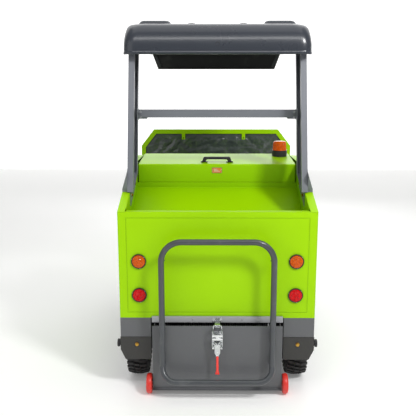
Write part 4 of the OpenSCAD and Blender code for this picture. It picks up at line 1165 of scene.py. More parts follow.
    def _lever(self) -> None:
        """Make the pressed lever with its round holes and its pivot."""
        low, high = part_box("latch_lever")
        level = low.y + 0.0006
        inner = self._cheek() - 0.0012
        top, foot = high.z - 0.004, low.z
        lever = Solid()
        outline = [(-inner, top), (-inner, top - 0.050), (-0.0085, foot + 0.018), (-0.0055, foot),
                   (0.0055, foot), (0.0085, foot + 0.018), (inner, top - 0.050), (inner, top)]
        self._plate(lever, outline, level, 0.0026)
        for side in (-1, 1):
            self._side(lever,
                       [(level + 0.001, top), (level + 0.001, top - 0.050), (level + 0.006, top - 0.050),
                               (level + 0.016, top - 0.038), (level + 0.024, top - 0.012),
                        (level + 0.022, top)],
                       side * (inner - 0.0024), 0.0024)
        body = lever.piece("latch_pressed_lever", "lever", ZINC, "zinc", replaces=["latch_lever"])
        soften(body, 0.0004, 40.0)
        marks = Solid()
        for z in (top - 0.012, top - 0.044, foot + 0.020):
            marks.lathe([(0.0046, 0.0), (0.0046, 0.0007), (0.0036, 0.0007), (0.0034, -0.0004),
                         (0.0, -0.0004)], 28,
                        turned((0.0, level - 0.0001, z), (0, -1, 0)))
        marks.piece("latch_lever_eyelets", "lever", BRIGHT_STEEL, "zinc")
        pivot = Solid()
        reach = high.x - 0.0005
        pivot.lathe([(0.0, -reach), (0.0036, -reach), (0.0042, -reach + 0.001), (0.0042, reach - 0.001),
                     (0.0036, reach), (0.0, reach)], 24,
                    turned((0.0, level + 0.0195, top - 0.006), (1, 0, 0)))
        pivot.piece("latch_pivot_rivet", "lever", BRIGHT_STEEL, "zinc")

    def _grip(self) -> None:
        """Make the dipped grip that ends in a fish tail."""
        low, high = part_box("latch_grip")
        y = (low.y + high.y) / 2
        tall = high.z - low.z
        widths = [(0.0, 0.0), (0.012, 0.55), (0.05, 0.62), (0.30, 0.58), (0.60, 0.62), (0.76, 0.60),
                  (0.84, 0.76),
                  (0.92, 0.96), (0.965, 1.0)]
        grip = Solid()
        rings = []
        for t, share in widths:
            half = max(0.0008, high.x * share)
            deep = min(self.grip_deep, max(0.0008, self.grip_deep * (0.35 + share)))
            z = high.z - tall * t
            rings.append([(half * math.copysign(abs(math.cos(a)) ** 0.75, math.cos(a)),
                           y + deep * math.copysign(abs(math.sin(a)) ** 0.75, math.sin(a)), z)
                          for a in (math.tau * k / 28 for k in range(28))])
        grip.rings(rings)
        for side in (-1, 1):
            fork = []
            for t in range(8):
                u = t / 7
                swell = 0.0058 * math.sqrt(max(0.02, 1 - u ** 2.2))
                cx = side * (high.x * 0.48 + 0.0024 * u)
                z = low.z + tall * 0.05 * (1 - u) + 0.0004
                fork.append([(cx + swell * math.cos(a), y + swell * 0.92 * math.sin(a), z)
                             for a in (math.tau * k / 20 for k in range(20))])
            grip.rings(fork)
        grip.piece("latch_dipped_grip", "lever", RED_VINYL, "grip_vinyl", replaces=["latch_grip"])

    @staticmethod
    def _keeper() -> None:
        """Make the screws of the keeper and the eyelets on the pale strip."""
        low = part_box("latch_keeper")[0]
        strip_low, strip_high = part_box("header_strip")
        screws = Solid()
        for side in (-1, 1):
            hex_bolt(screws, (side * 0.0185, strip_low.y, low.z + 0.010), (0, -1, 0), 0.0075, 0.003)
            for x in (0.14, 0.30):
                screws.lathe([(0.0042, 0.0), (0.0038, 0.0012), (0.0018, 0.0019), (0.0, 0.002)], 18,
                             turned((side * x, strip_low.y, (strip_low.z + strip_high.z) / 2), (0, -1, 0)))
        screws.piece("keeper_screws", "chassis", ZINC, "strip_paint")


@dataclass
class Wheels:
    """Tyres with block treads on their rims, and the front wheel."""

    lugs: int = 34

    def build(self) -> None:
        """Make the rear wheels, the front tyre and its rim."""
        for side, sign in (("left", -1), ("right", 1)):
            node = f"rear_wheel_{side}"
            low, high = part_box(node)
            centre = (low + high) / 2
            body = f"rear_{side}_wheel"
            place = turned(centre, (sign, 0, 0))
            r, w = (high.z - low.z) / 2, (high.x - low.x) / 2
            self._tyre(f"rear_tyre_{side}", body, place, r, w, [node])
            self._rim(f"rear_rim_{side}", body, place, r * 0.56, w, 0.0135)
        low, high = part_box("front_tyre")
        place = turned((low + high) / 2, (1, 0, 0))
        r, w = (high.z - low.z) / 2, (high.x - low.x) / 2
        self._tyre("front_block_tyre", "front_wheel", place, r, w, ["front_tyre"])
        dress(["front_rim"], ZINC, 1.5)

    def _tyre(self, name: str, body: str, place: Matrix, r: float, w: float, gone: list[str]) -> None:
        """Make one tyre: carcass, shoulder lugs and a centre row of blocks.

        Args:
            name: the piece's name.
            body: the body it turns with.
            place: its axle's frame.
            r: the outer radius.
            w: half its width.
            gone: the frame nodes it replaces.
        """
        base = r - 0.012
        tyre = Solid()
        tyre.lathe([(r * 0.56, -w * 0.74), (r * 0.60, -w * 0.86), (r * 0.66, -w * 0.93),
                    (r * 0.76, -w * 0.985),
                    (r * 0.86, -w * 0.97), (base - 0.006, -w * 0.86), (base, -w * 0.7), (base + 0.001, 0.0),
                    (base, w * 0.7), (base - 0.006, w * 0.86), (r * 0.86, w * 0.97), (r * 0.76, w * 0.985),
                    (r * 0.66, w * 0.93), (r * 0.60, w * 0.86), (r * 0.56, w * 0.74), (r * 0.555, 0.0),
                    (r * 0.56, -w * 0.74)], 96, place)
        for k in range(self.lugs):
            for side in (-1, 1):
                a = math.tau * (k + (0.5 if side > 0 else 0.0)) / self.lugs
                self._lug(tyre, place, a, math.tau / self.lugs * 0.60, base, r, side * w * 0.98,
                          side * w * 0.34, 0.14)
            a = math.tau * (k + 0.25) / self.lugs
            self._lug(tyre, place, a, math.tau / self.lugs * 0.66, base, r, -w * 0.24, w * 0.24, 0.22)
        for z in (-w * 0.90, w * 0.90):
            for q in (0.70, 0.735):
                tyre.tube([(r * q * math.cos(t), r * q * math.sin(t), z + (0.0035 if z > 0 else -0.0035))
                           for t in (math.tau * i / 64 for i in range(64))], 0.0011, 6, True, place)
        tyre.piece(name, body, TYRE_RUBBER, "tyre_rubber", smooth=False, replaces=gone)

    @staticmethod
    def _lug(tyre: Solid, place: Matrix, angle: float, wide: float, base: float, r: float, z0: float,
             z1: float,
             skew: float) -> None:
        """Add one tapered tread block.

        Args:
            tyre: the piece that it is added to.
            place: the axle's frame.
            angle: where the block is, in radians.
            wide: its angle at the root.
            base: radius of its root.
            r: radius of its face.
            z0: one end along the axle.
            z1: the other end.
            skew: how far the far end is turned, as a share of a pitch.
        """
        rings = []
        for radius, narrow in ((base - 0.004, 1.0), (r - 0.0018, 0.84), (r - 0.0002, 0.74)):
            ring = []
            for z, turn in ((z0, 0.0), (z1, skew * wide)):
                outer = abs(z) > 0.9 * max(abs(z0), abs(z1)) and abs(z0) != abs(z1)
                drop = 0.010 if outer and radius > base else 0.0
                pair = [angle + turn - wide * narrow / 2, angle + turn + wide * narrow / 2]
                if z == z1:
                    pair.reverse()
                for a in pair:
                    ring.append(((radius - drop) * math.cos(a), (radius - drop) * math.sin(a), z))
            rings.append(ring)
        tyre.rings(rings, place)

    @staticmethod
    def _rim(name: str, body: str, place: Matrix, r: float, w: float, bore: float) -> None:
        """Make one pressed rim with its stud nuts.

        Args:
            name: the piece's name.
            body: the body it turns with.
            place: its axle's frame, Z pointing outwards.
            r: radius of its bead seat.
            w: half the tyre's width.
            bore: radius of the hub's bore.
        """
        rim = Solid()
        rim.lathe([(r * 1.05, -w * 0.8), (r * 1.07, -w * 0.76), (r * 0.985, -w * 0.72),
                   (r * 0.975, w * 0.72),
                   (r * 1.07, w * 0.76), (r * 1.05, w * 0.8), (r * 0.95, w * 0.74), (r * 0.92, w * 0.2),
                   (r * 0.80, w * 0.06), (r * 0.62, w * 0.12), (r * 0.48, w * 0.3), (r * 0.34, w * 0.34),
                   (bore, w * 0.34), (bore, w * 0.24), (r * 0.34, w * 0.24), (r * 0.60, w * 0.04),
                   (r * 0.80, -w * 0.02), (r * 0.94, w * 0.12), (r * 0.93, -w * 0.72),
                   (r * 1.05, -w * 0.8)], 64, place)
        rim.piece(name, body, CHASSIS_COAT, "tyre_rubber")
        studs = Solid()
        for k in range(5):
            a = math.tau * k / 5
            at = place @ Vector((r * 0.5 * math.cos(a), r * 0.5 * math.sin(a), w * 0.25))
            hex_bolt(studs, at, place.to_3x3() @ Vector((0, 0, 1)), 0.019, 0.012)
        studs.piece(name + "_nuts", body, ZINC, "tyre_rubber")


@dataclass
class Brushes:
    """Bristle brushes: a spiral main broom and the two side brushes."""

    broom_tufts: int = 46
    broom_rows: int = 12
    disc_tufts: int = 44

    def build(self) -> None:
        """Make the broom and both side brushes."""
        self._broom()
        for side in ("left", "right"):
            self._disc(side)

    def _tuft(self, solid: Solid, root: Vector, tip: Vector, across: Vector, width: float, spread: float,
              rnd: random.Random, hairs: int) -> None:
        """Add one tuft as a sheaf of tapered filaments.

        Args:
            solid: what it is added to.
            root: where the tuft is set.
            tip: the middle of its tips.
            across: one direction of its width.
            width: its width at the root.
            spread: its width at the tips.
            rnd: the piece's own random numbers.
            hairs: filaments in it.
        """
        way = (tip - root).normalized()
        side = across.normalized()
        third = way.cross(side)
        for _ in range(hairs):
            a, b = rnd.uniform(-1, 1), rnd.uniform(-1, 1)
            start = root + side * a * width + third * b * width
            end = tip + side * a * spread + third * b * spread - way * rnd.uniform(0, 0.010)
            mid = (start + end) / 2 + side * rnd.uniform(-0.003, 0.003)
            thick = 0.0016
            rings = []
            for p, k in ((start, 1.0), (mid, 0.9), (end, 0.6)):
                rings.append([p + (side * math.cos(t) + third * math.sin(t)) * thick * k
                              for t in (0, math.tau / 3, 2 * math.tau / 3)])
            solid.rings(rings)

    def _broom(self) -> None:
        """Make the cylindrical broom: core tube, flanges and spiral rows of tufts."""
        low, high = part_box("main_broom")
        centre = (low + high) / 2
        r = (high.z - low.z) / 2
        radii = sorted({round(math.hypot(v.co.y - centre.y, v.co.z - centre.z), 3)
                        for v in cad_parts["main_broom"].data.vertices})
        wide = [v.co.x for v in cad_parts["main_broom"].data.vertices
                if math.hypot(v.co.y - centre.y, v.co.z - centre.z) > r * 0.9]
        x0, x1 = min(wide), max(wide)
        core = Solid()
        core.lathe([(radii[0], low.x - centre.x), (r * 0.44, x0 - centre.x),
                    (r * 0.46, x0 - centre.x + 0.004),
                    (r * 0.46, x1 - centre.x - 0.004), (r * 0.44, x1 - centre.x),
                    (radii[0], high.x - centre.x)],
                   48, turned(centre, (1, 0, 0)))
        core.piece("broom_core", "broom", BLACK_NYLON, "bristle", replaces=["main_broom"])
        rnd = random.Random(5)
        tufts = Solid()
        for row in range(self.broom_rows):
            for k in range(self.broom_tufts):
                t = k / (self.broom_tufts - 1)
                bend = 1 if t < 0.5 else -1
                a = math.tau * row / self.broom_rows + 1.1 * (t - 0.5) * bend
                out = Vector((0, math.cos(a), math.sin(a)))
                x = x0 + 0.008 + (x1 - x0 - 0.016) * t
                root = Vector((x, centre.y, centre.z)) + out * r * 0.45
                tip = Vector((x, centre.y, centre.z)) + out * (r - 0.001)
                self._tuft(tufts, root, tip, Vector((1, 0, 0)), 0.003, 0.0065, rnd, 7)
        tufts.piece("broom_bristles", "broom", BRISTLE, "bristle")

    def _disc(self, side: str) -> None:
        """Make one side brush: a moulded disc with slanted tufts.

        Args:
            side: left or right.
        """
        node = f"side_brush_{side}"
        low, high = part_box(node)
        centre = (low + high) / 2
        r = (high.x - low.x) / 2
        body = f"{side}_brush"
        at = Matrix.Translation((centre.x, centre.y, low.z))
        tall = high.z - low.z
        disc = Solid()
        disc.lathe([(0.0, tall * 0.55), (r * 0.5, tall * 0.55), (r * 0.58, tall * 0.62),
                    (r * 0.58, tall * 0.70),
                    (r * 0.52, tall * 0.74), (r * 0.3, tall * 0.76), (r * 0.24, tall * 0.84),
                    (0.021, tall * 0.86),
                    (0.021, tall * 0.995), (0.0, tall * 0.995)], 48, at)
        disc.piece(f"side_brush_disc_{side}", body, CASE_PLASTIC, "bristle", replaces=[node])
        rnd = random.Random(9 if side == "left" else 11)
        tufts = Solid()
        for ring, (start, end) in enumerate(((0.53, 0.97), (0.42, 0.80))):
            for k in range(self.disc_tufts):
                a = math.tau * (k + ring * 0.5) / self.disc_tufts
                out = Vector((math.cos(a), math.sin(a), 0))
                root = Vector((centre.x, centre.y, low.z + tall * 0.58)) + out * r * start
                tip = Vector((centre.x, centre.y, low.z + 0.003)) + out * (r * end - 0.004)
                self._tuft(tufts, root, tip, Vector((-out.y, out.x, 0)), 0.003, 0.008, rnd, 9)
        tufts.piece(f"side_brush_bristles_{side}", body, BRISTLE, "bristle")


@dataclass
class Seat:
    """Sewn vinyl seat: a cushion and a back with piping and sewn channels."""

    frames: int = 20
    puff: float = 4.0
    seam_m: float = 0.004
    border_m: float = 0.004
    corner_m: float = 0.07
    dish_m: float = 0.014
    channel_m: float = 0.006
    channels: tuple[float, ...] = (-0.42, 0.0, 0.42)
    settle_m: float = 0.006

    def build(self) -> None:
        """Make the two pads, their piping and their seams."""
        cushion = self._pad("seat_cushion", "sewn_seat_cushion", self._cushion_cage())
        back = self._pad("seat_back", "sewn_seat_back", self._back_cage())
        self._piping("seat_cushion", "seat_cushion_piping", cushion, 2)
        self._piping("seat_back", "seat_back_piping", back, 1)

    def _cushion_cage(self) -> Solid:
        """Cushion's cut: raised side bolsters and a dished middle with cross channels."""
        low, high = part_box("seat_cushion")
        return self._grid(low, high, 2)

    def _back_cage(self) -> Solid:
        """Back's cut: raised sides and cross channels."""
        low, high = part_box("seat_back")
        return self._grid(low, high, 1)

    def _grid(self, low: Vector, high: Vector, face: int) -> Solid:
        """Closed cage of a pad whose front face is dished and channelled.

        Args:
            low: the pad's lowest corner.
            high: its highest corner.
            face: the axis its padded face looks along, 2 for up and 1 for forwards.

        Returns:
            The cage.
        """
        n, m = 60, 56
        u_half = (high.x - low.x) / 2 - self.border_m
        v_low, v_high = (low.y, high.y) if face == 2 else (low.z, high.z)
        v_low, v_high = v_low + self.border_m, v_high - self.border_m
        near, far = (low.z, high.z) if face == 2 else (low.y, high.y)
        near, far = near + 0.001, far - 0.007
        centre = (low.x + high.x) / 2
        front, rear = [], []
        for j in range(m + 1):
            v = 2 * j / m - 1
            front_row, rear_row = [], []
            for i in range(n + 1):
                u = 2 * i / n - 1
                pu, pv = self._square_to_round(u, v, u_half, (v_high - v_low) / 2, self.corner_m)
                edge = min(1.0, (1 - max(abs(u), abs(v))) * 7)
                swell = math.sqrt(max(0.0, 1 - (1 - edge) ** 2))
                dish = self.dish_m * math.exp(-(abs(u) / 0.62) ** 4)
                lines = 0.0
                if abs(u) < 0.64:
                    lines = self.channel_m * sum(math.exp(-((v - k) / 0.035) ** 2) for k in self.channels)
                side = self.channel_m * math.exp(-((abs(u) - 0.66) / 0.03) ** 2)
                depth = (far - near) * (0.42 + 0.58 * swell) - (dish + lines + side) * swell
                w = (v_low + v_high) / 2 + pv
                spot = (centre + pu, w, near + depth) if face == 2 else (centre + pu, near + depth, w)
                base = (centre + pu, w, near) if face == 2 else (centre + pu, near, w)
                front_row.append(spot)
                rear_row.append(base)
            front.append(front_row)
            rear.append(rear_row)
        verts = [p for row in front for p in row] + [p for row in rear for p in row]
        off = (m + 1) * (n + 1)
        faces = []
        for j in range(m):
            for i in range(n):
                a = j * (n + 1) + i
                faces.append((a, a + 1, a + n + 2, a + n + 1))
                faces.append((off + a + n + 1, off + a + n + 2, off + a + 1, off + a))
        rim = ([i for i in range(n)] + [j * (n + 1) + n for j in range(m)]
               + [m * (n + 1) + i for i in range(n, 0, -1)] + [j * (n + 1) for j in range(m, 0, -1)])
        for a, b in zip(rim, rim[1:] + rim[:1]):
            faces.append((off + a, off + b, b, a))
        return Solid().add(verts, faces)

    @staticmethod
    def _square_to_round(u: float, v: float, a: float, b: float, r: float) -> tuple[float, float]:
        """Move a point of a unit square onto a rectangle with rounded corners.

        Args:
            u: across, from -1 to 1.
            v: along, from -1 to 1.
            a: half the rectangle's width.
            b: half its length.
            r: its corners' radius.

        Returns:
            The moved point.
        """
        x, y = u * a, v * b
        k = max(abs(u), abs(v))
        if k < 1e-6:
            return x, y
        ax, by = a * k, b * k
        rr = r * k
        over_x, over_y = abs(x) - (ax - rr), abs(y) - (by - rr)
        if over_x > 0 and over_y > 0:
            far = math.hypot(over_x, over_y)
            square = max(over_x, over_y)
            x = math.copysign(ax - rr + over_x * square / far, x)
            y = math.copysign(by - rr + over_y * square / far, y)
        return x, y

    def _pad(self, node: str, name: str, cage: Solid) -> bpy.types.Object:
        """Turn a cage into a stuffed pad that settles as cloth.

        Args:
            node: the frame node it stands for.
            name: the piece's name.
            cage: its cut.

        Returns:
            The pad.
        """
        low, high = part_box(node)
        pad = mesh_object(name, cage.verts, cage.faces, SEAT_VINYL)
        start = [v.co.copy() for v in pad.data.vertices]
        cloth = pad.modifiers.new("stuffing", "CLOTH")
        cloth.settings.quality = 6
        cloth.settings.use_pressure = True
        cloth.settings.uniform_pressure_force = self.puff
        cloth.settings.tension_stiffness = 40
        cloth.settings.bending_stiffness = 4
        cloth.settings.effector_weights.gravity = 0.0
        cloth.settings.shrink_min = -0.01
        cloth.collision_settings.use_collision = False
        cloth.point_cache.frame_start, cloth.point_cache.frame_end = 1, self.frames
        for step in range(1, self.frames + 1):
            bpy.context.scene.frame_set(step)
        settled = pad.evaluated_get(bpy.context.evaluated_depsgraph_get())
        moved = [v.co.copy() for v in settled.data.vertices]
        pad.modifiers.remove(cloth)
        bpy.context.scene.frame_set(1)
        for v, old, new in zip(pad.data.vertices, start, moved):
            shift = new - old
            if shift.length > self.settle_m:
                shift = shift.normalized() * self.settle_m
            v.co = old + shift
        for v in pad.data.vertices:
            v.co = Vector([min(high[i] + self.seam_m, max(low[i], v.co[i])) for i in range(3)])
        pad.modifiers.new("smooth", "SUBSURF").render_levels = 1
        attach(pad, "seat")
        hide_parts(node)
        return pad

    def _piping(self, node: str, name: str, pad: bpy.types.Object, face: int) -> None:
        """Run a piping cord round the pad where its face is sewn to its border.

        Args:
            node: the frame node of the pad.
            name: the piping's name.
            pad: the pad it is sewn to.
            face: the axis the padded face looks along.
        """
        low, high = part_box(node)
        long = (high.y - low.y) if face == 2 else (high.z - low.z)
        a, b = (high.x - low.x) / 2 - self.border_m, long / 2 - self.border_m
        thick = (high.z - low.z) if face == 2 else (high.y - low.y)
        path = []
        steps = 96
        for k in range(steps):
            t = 8 * k / steps
            side, s = int(t // 2), (t % 2) - 1
            u, v = ((s, -1), (1, s), (-s, 1), (-1, -s))[side]
            pu, pv = self._square_to_round(u, v, a + 0.001, b + 0.001, self.corner_m)
            level = thick * 0.40
            cx = (low.x + high.x) / 2
            if face == 2:
                path.append((cx + pu, (low.y + high.y) / 2 + pv, low.z + level))
            else:
                path.append((cx + pu, low.y + level, (low.z + high.z) / 2 + pv))
        cord = Solid()
        cord.tube(path, self.seam_m * 0.7, 10, True)
        piece = cord.piece(name, "seat", SEAT_PIPING, "seat_vinyl")
        # With no parent the cord stays where it is drawn when the seat slides.
        piece.parent = None
        log.info("%s follows %s", name, pad.name)


@dataclass
class Cab:
    """Floor mat, dial, switches and key."""

    ribs: int = 22

    def build(self) -> None:
        """Make the driver's place."""
        self._mat()
        self._console()

    def _mat(self) -> None:
        """Make the ribbed rubber mat on the floor pan."""
        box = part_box("seat_box")
        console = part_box("steering_console")
        z = box[0].z
        y0, y1 = box[1].y + 0.015, console[0].y - 0.01
        mat = Solid()
        mat.block((-0.42, y0, z + 0.0002), (0.42, y1, z + 0.003), 0.001)
        for k in range(self.ribs):
            x = -0.40 + 0.80 * k / (self.ribs - 1)
            mat.rings([[(x + dx, y, z + dz) for dx,
                        dz in ((-0.004, 0.0025), (-0.0025, 0.0052), (0.0025, 0.0052),
                                                           (0.004, 0.0025))] for y in (y0 + 0.012,
                                                                                       y1 - 0.012)])
        mat.piece("ribbed_floor_mat", "chassis", MAT_RUBBER, "black_paint")

    def _console(self) -> None:
        """Make the dial, the key switch and the rocker switches on the dashboard."""
        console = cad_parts["steering_console"].data.vertices
        top = max(v.co.z for v in console)
        face = min(v.co.y for v in console if v.co.z > top - 0.02)
        low_z = top - 0.14
        dash = Solid()
        place = turned((0.0, face - 0.004, top - 0.07), (0, -1, 0.08))
        dash.lathe([(0.041, 0.004), (0.041, 0.011), (0.037, 0.013), (0.034, 0.010), (0.0, 0.010)], 48,
                   place)
        for side in (-1, 1):
            for k in range(3):
                x = side * (0.075 + k * 0.036)
                dash.block((x - 0.011, face - 0.010, top - 0.085), (x + 0.011, face + 0.004, top - 0.05),
                           0.003)
        dash.piece("dashboard_switches", "chassis", BLACK_NYLON, "black_plastic")
        key = Solid()
        key.lathe([(0.012, 0.0), (0.012, 0.008), (0.009, 0.011), (0.0, 0.011)], 32,
                  turned((0.16, face + 0.002, low_z + 0.03), (0, -1, 0)))
        key.block((0.1585, face - 0.030, low_z + 0.018), (0.1615, face - 0.008, low_z + 0.042), 0.001)
        key.piece("ignition_key", "chassis", BRIGHT_STEEL, "zinc")


@dataclass
class Canopy:
    """Moulded canopy with a rolled lip, raised panels, eyelets and a drain plug."""

    wall: float = 0.004
    around: int = 16
    lip_rise: float = 0.066

    def build(self) -> None:
        """Make the shell, its raised panels, the plug and the fixings."""
        low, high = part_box("canopy_shell")
        self.rear, self.front = low.y, high.y
        self.half, self.lip = high.x, low.z
        self.crown = high.z - 0.025
        self._shell()
        self._raised()
        self._plug()
        dress(["canopy_visor"], VISOR_PLASTIC, 1.5, 30.0)
        self._fixings()

    def _lip_at(self, y: float) -> float:
        """Height of the lip over a station: deep at the rear, higher along the sides.

        Args:
            y: the station.

        Returns:
            The lip's height.
        """
        t = min(1.0, max(0.0, (y - self.rear - 0.055) / 0.10))
        rise = self.lip_rise * t * t * (3 - 2 * t)
        return self.lip + rise + 0.018 * max(0.0, (y - self.rear - 0.15) / (self.front - self.rear))

    def _outline(self, inset: float, corner: float) -> list[tuple[float, float]]:
        """Rounded plan outline drawn in by a distance.

        Args:
            inset: how far it is drawn in.
            corner: its corners' radius.

        Returns:
            Its points, counter-clockwise.
        """
        sideways = inset * 0.34 if inset < 0.13 else inset - 0.0858
        x, y0, y1 = self.half - sideways, self.rear + inset * 0.95, self.front - inset
        front_r = min(corner + 0.05, self.half - sideways - 0.01)
        points: list[tuple[float, float]] = []
        for cx, cy, r, start in ((x - corner, y0 + corner, corner, 270),
                                 (x - front_r, y1 - front_r, front_r, 0),
                                 (-x + front_r, y1 - front_r, front_r, 90),
                                 (-x + corner, y0 + corner, corner, 180)):
            for k in range(self.around + 1):
                a = math.radians(start + 90 * k / self.around)
                points.append((cx + r * math.cos(a), cy + r * math.sin(a)))
        dense: list[tuple[float, float]] = []
        for p, q in zip(points, points[1:] + points[:1]):
            gap = math.hypot(q[0] - p[0], q[1] - p[1])
            steps = max(1, round(gap / 0.05)) if gap > 0.06 else 1
            dense += [(p[0] + (q[0] - p[0]) * i / steps,
                       p[1] + (q[1] - p[1]) * i / steps) for i in range(steps)]
        return dense

    def _ring(self, inset: float, rise: float, count: int,
              down: float = 0.0) -> list[tuple[float, float, float]]:
        """One ring of the shell with a set number of corners.

        Args:
            inset: how far it is drawn in.
            rise: its height from 0 at the lip to 1 at the crown.
            count: its number of corners.
            down: how far it is lowered.

        Returns:
            Its points.
        """
        plan = self._outline(inset, min(0.10, 0.055 + inset * 0.35))
        far = [0.0]
        for p, q in zip(plan, plan[1:] + plan[:1]):
            far.append(far[-1] + math.hypot(q[0] - p[0], q[1] - p[1]))
        ring = []
        k = 0
        for i in range(count):
            want = far[-1] * i / count
            while far[k + 1] < want:
                k += 1
            t = (want - far[k]) / max(1e-9, far[k + 1] - far[k])
            p, q = plan[k], plan[(k + 1) % len(plan)]
            x, y = p[0] + (q[0] - p[0]) * t, p[1] + (q[1] - p[1]) * t
            base = self._lip_at(y)
            ring.append((x, y, base + (self.crown - base) * rise - down))
        return ring

    def _shell(self) -> None:
        """Make the shell as a skin with an outer and an inner side."""
        count = 220
        outside = [(0.004, 0.0), (0.0005, 0.02), (0.0, 0.055), (0.0035, 0.085), (0.0045, 0.12)]
        steps = 14
        for k in range(steps + 1):
            a = math.pi / 2 * (k / steps) ** 0.9
            outside.append((0.0045 + 0.125 * (1 - math.cos(a)), 0.14 + 0.86 * math.sin(a) ** 0.95))
        outside += [(0.22, 1.0), (0.36, 1.0), (0.48, 1.0)]
        rings = [self._ring(inset, rise, count) for inset, rise in outside]
        inside = [self._ring(inset + self.wall, min(rise, 0.985) if rise > 0.1 else rise, count,
                             self.wall if rise > 0.1 else 0.0) for inset, rise in outside]
        shell = Solid()
        shell.rings(rings[::-1] + inside)
        shell.piece("canopy_moulding", "chassis", CANOPY_PLASTIC, "slate_plastic",
                    replaces=["canopy_shell"])

    def _raised(self) -> None:
        """Make the raised panels and the eyelet bumps on the roof."""
        panels = Solid()
        for side in (-1, 1):
            x = side * self.half * 0.68
            rings = []
            for inset, rise in ((-0.004, -0.002), (0.0, 0.004), (0.010, 0.019), (0.017, 0.024),
                                (0.03, 0.0245)):
                rings.append([(x + dx * (0.1 - inset), y, self.crown + rise) for dx, y in
                              self._rounded_box(self.rear + 0.16 + inset, self.front - 0.17 - inset)])
            panels.rings(rings)
            for step in range(3):
                y = self.rear + 0.36 + step * 0.22
                panels.rings([[(x + u * 0.072, y + v * 0.008, self.crown + 0.0243 - h) for u, v in
                               ((-1, -1), (1, -1), (1, 1), (-1, 1))] for h in (0.0, -0.0006)])
            eye = turned((side * 0.155, self.rear + 0.18, self.crown - 0.001), (0, 0, 1))
            panels.lathe([(0.034, -0.004), (0.031, 0.003), (0.024, 0.009), (0.014, 0.012), (0.009, 0.0115),
                          (0.0075, 0.006), (0.0, 0.005)], 40, eye)
        panels.piece("canopy_raised_panels", "chassis", CANOPY_PLASTIC, "slate_plastic")

    @staticmethod
    def _rounded_box(y0: float, y1: float) -> list[tuple[float, float]]:
        """Unit-width rounded outline between two stations.

        Args:
            y0: the first station.
            y1: the last station.

        Returns:
            (-1..1, y) points.
        """
        points = []
        r = 0.03
        for cx, cy, start in ((0.7, y0 + r, 270), (0.7, y1 - r, 0), (-0.7, y1 - r, 90),
                              (-0.7, y0 + r, 180)):
            for k in range(9):
                a = math.radians(start + 90 * k / 8)
                points.append((cx + 0.3 * math.cos(a), cy + r * math.sin(a)))
        return points

    def _plug(self) -> None:
        """Make the round plug in the middle of the rear face."""
        z = self.lip + 0.058
        plug = Solid()
        plug.lathe([(0.0135, -0.002), (0.013, 0.0015), (0.0115, 0.0026), (0.0088, 0.0018), (0.0082, 0.0008),
                    (0.005, 0.0012), (0.0, 0.0014)], 36, turned((0.0, self.rear + 0.009, z), (0, -1, 0.12)))
        plug.piece("canopy_plug", "chassis", BLACK_NYLON, "slate_plastic")

    def _fixings(self) -> None:
        """Make the bolts that hold the frame to the posts and the crossbar's tabs."""
        bolts = Solid()
        bar_low, bar_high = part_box("crossbar")
        for side in (-1, 1):
            for dz in (0.018, bar_high.z - bar_low.z - 0.018):
                hex_bolt(bolts, (side * (bar_high.x - 0.022), bar_low.y, bar_low.z + dz), (0, -1, 0),
                         0.012, 0.0055)
        bolts.piece("crossbar_bolts", "chassis", ZINC, "steel_paint")
        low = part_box("canopy_visor")[0]
        edging = Solid()
        for side in (-1, 1):
            foot, head = side * 0.424, side * 0.462
            edging.rings([[(x + dx, low.y - 0.0006 + dy, z) for dx, dy in
                           ((-0.010, 0.0), (-0.007, -0.0022), (0.007, -0.0022), (0.010, 0.0))]
                          for x, z in ((foot, low.z + 0.018), (head, low.z + 0.104))])
        edging.piece("visor_edge_strips", "chassis", CASE_PLASTIC, "slate_plastic")


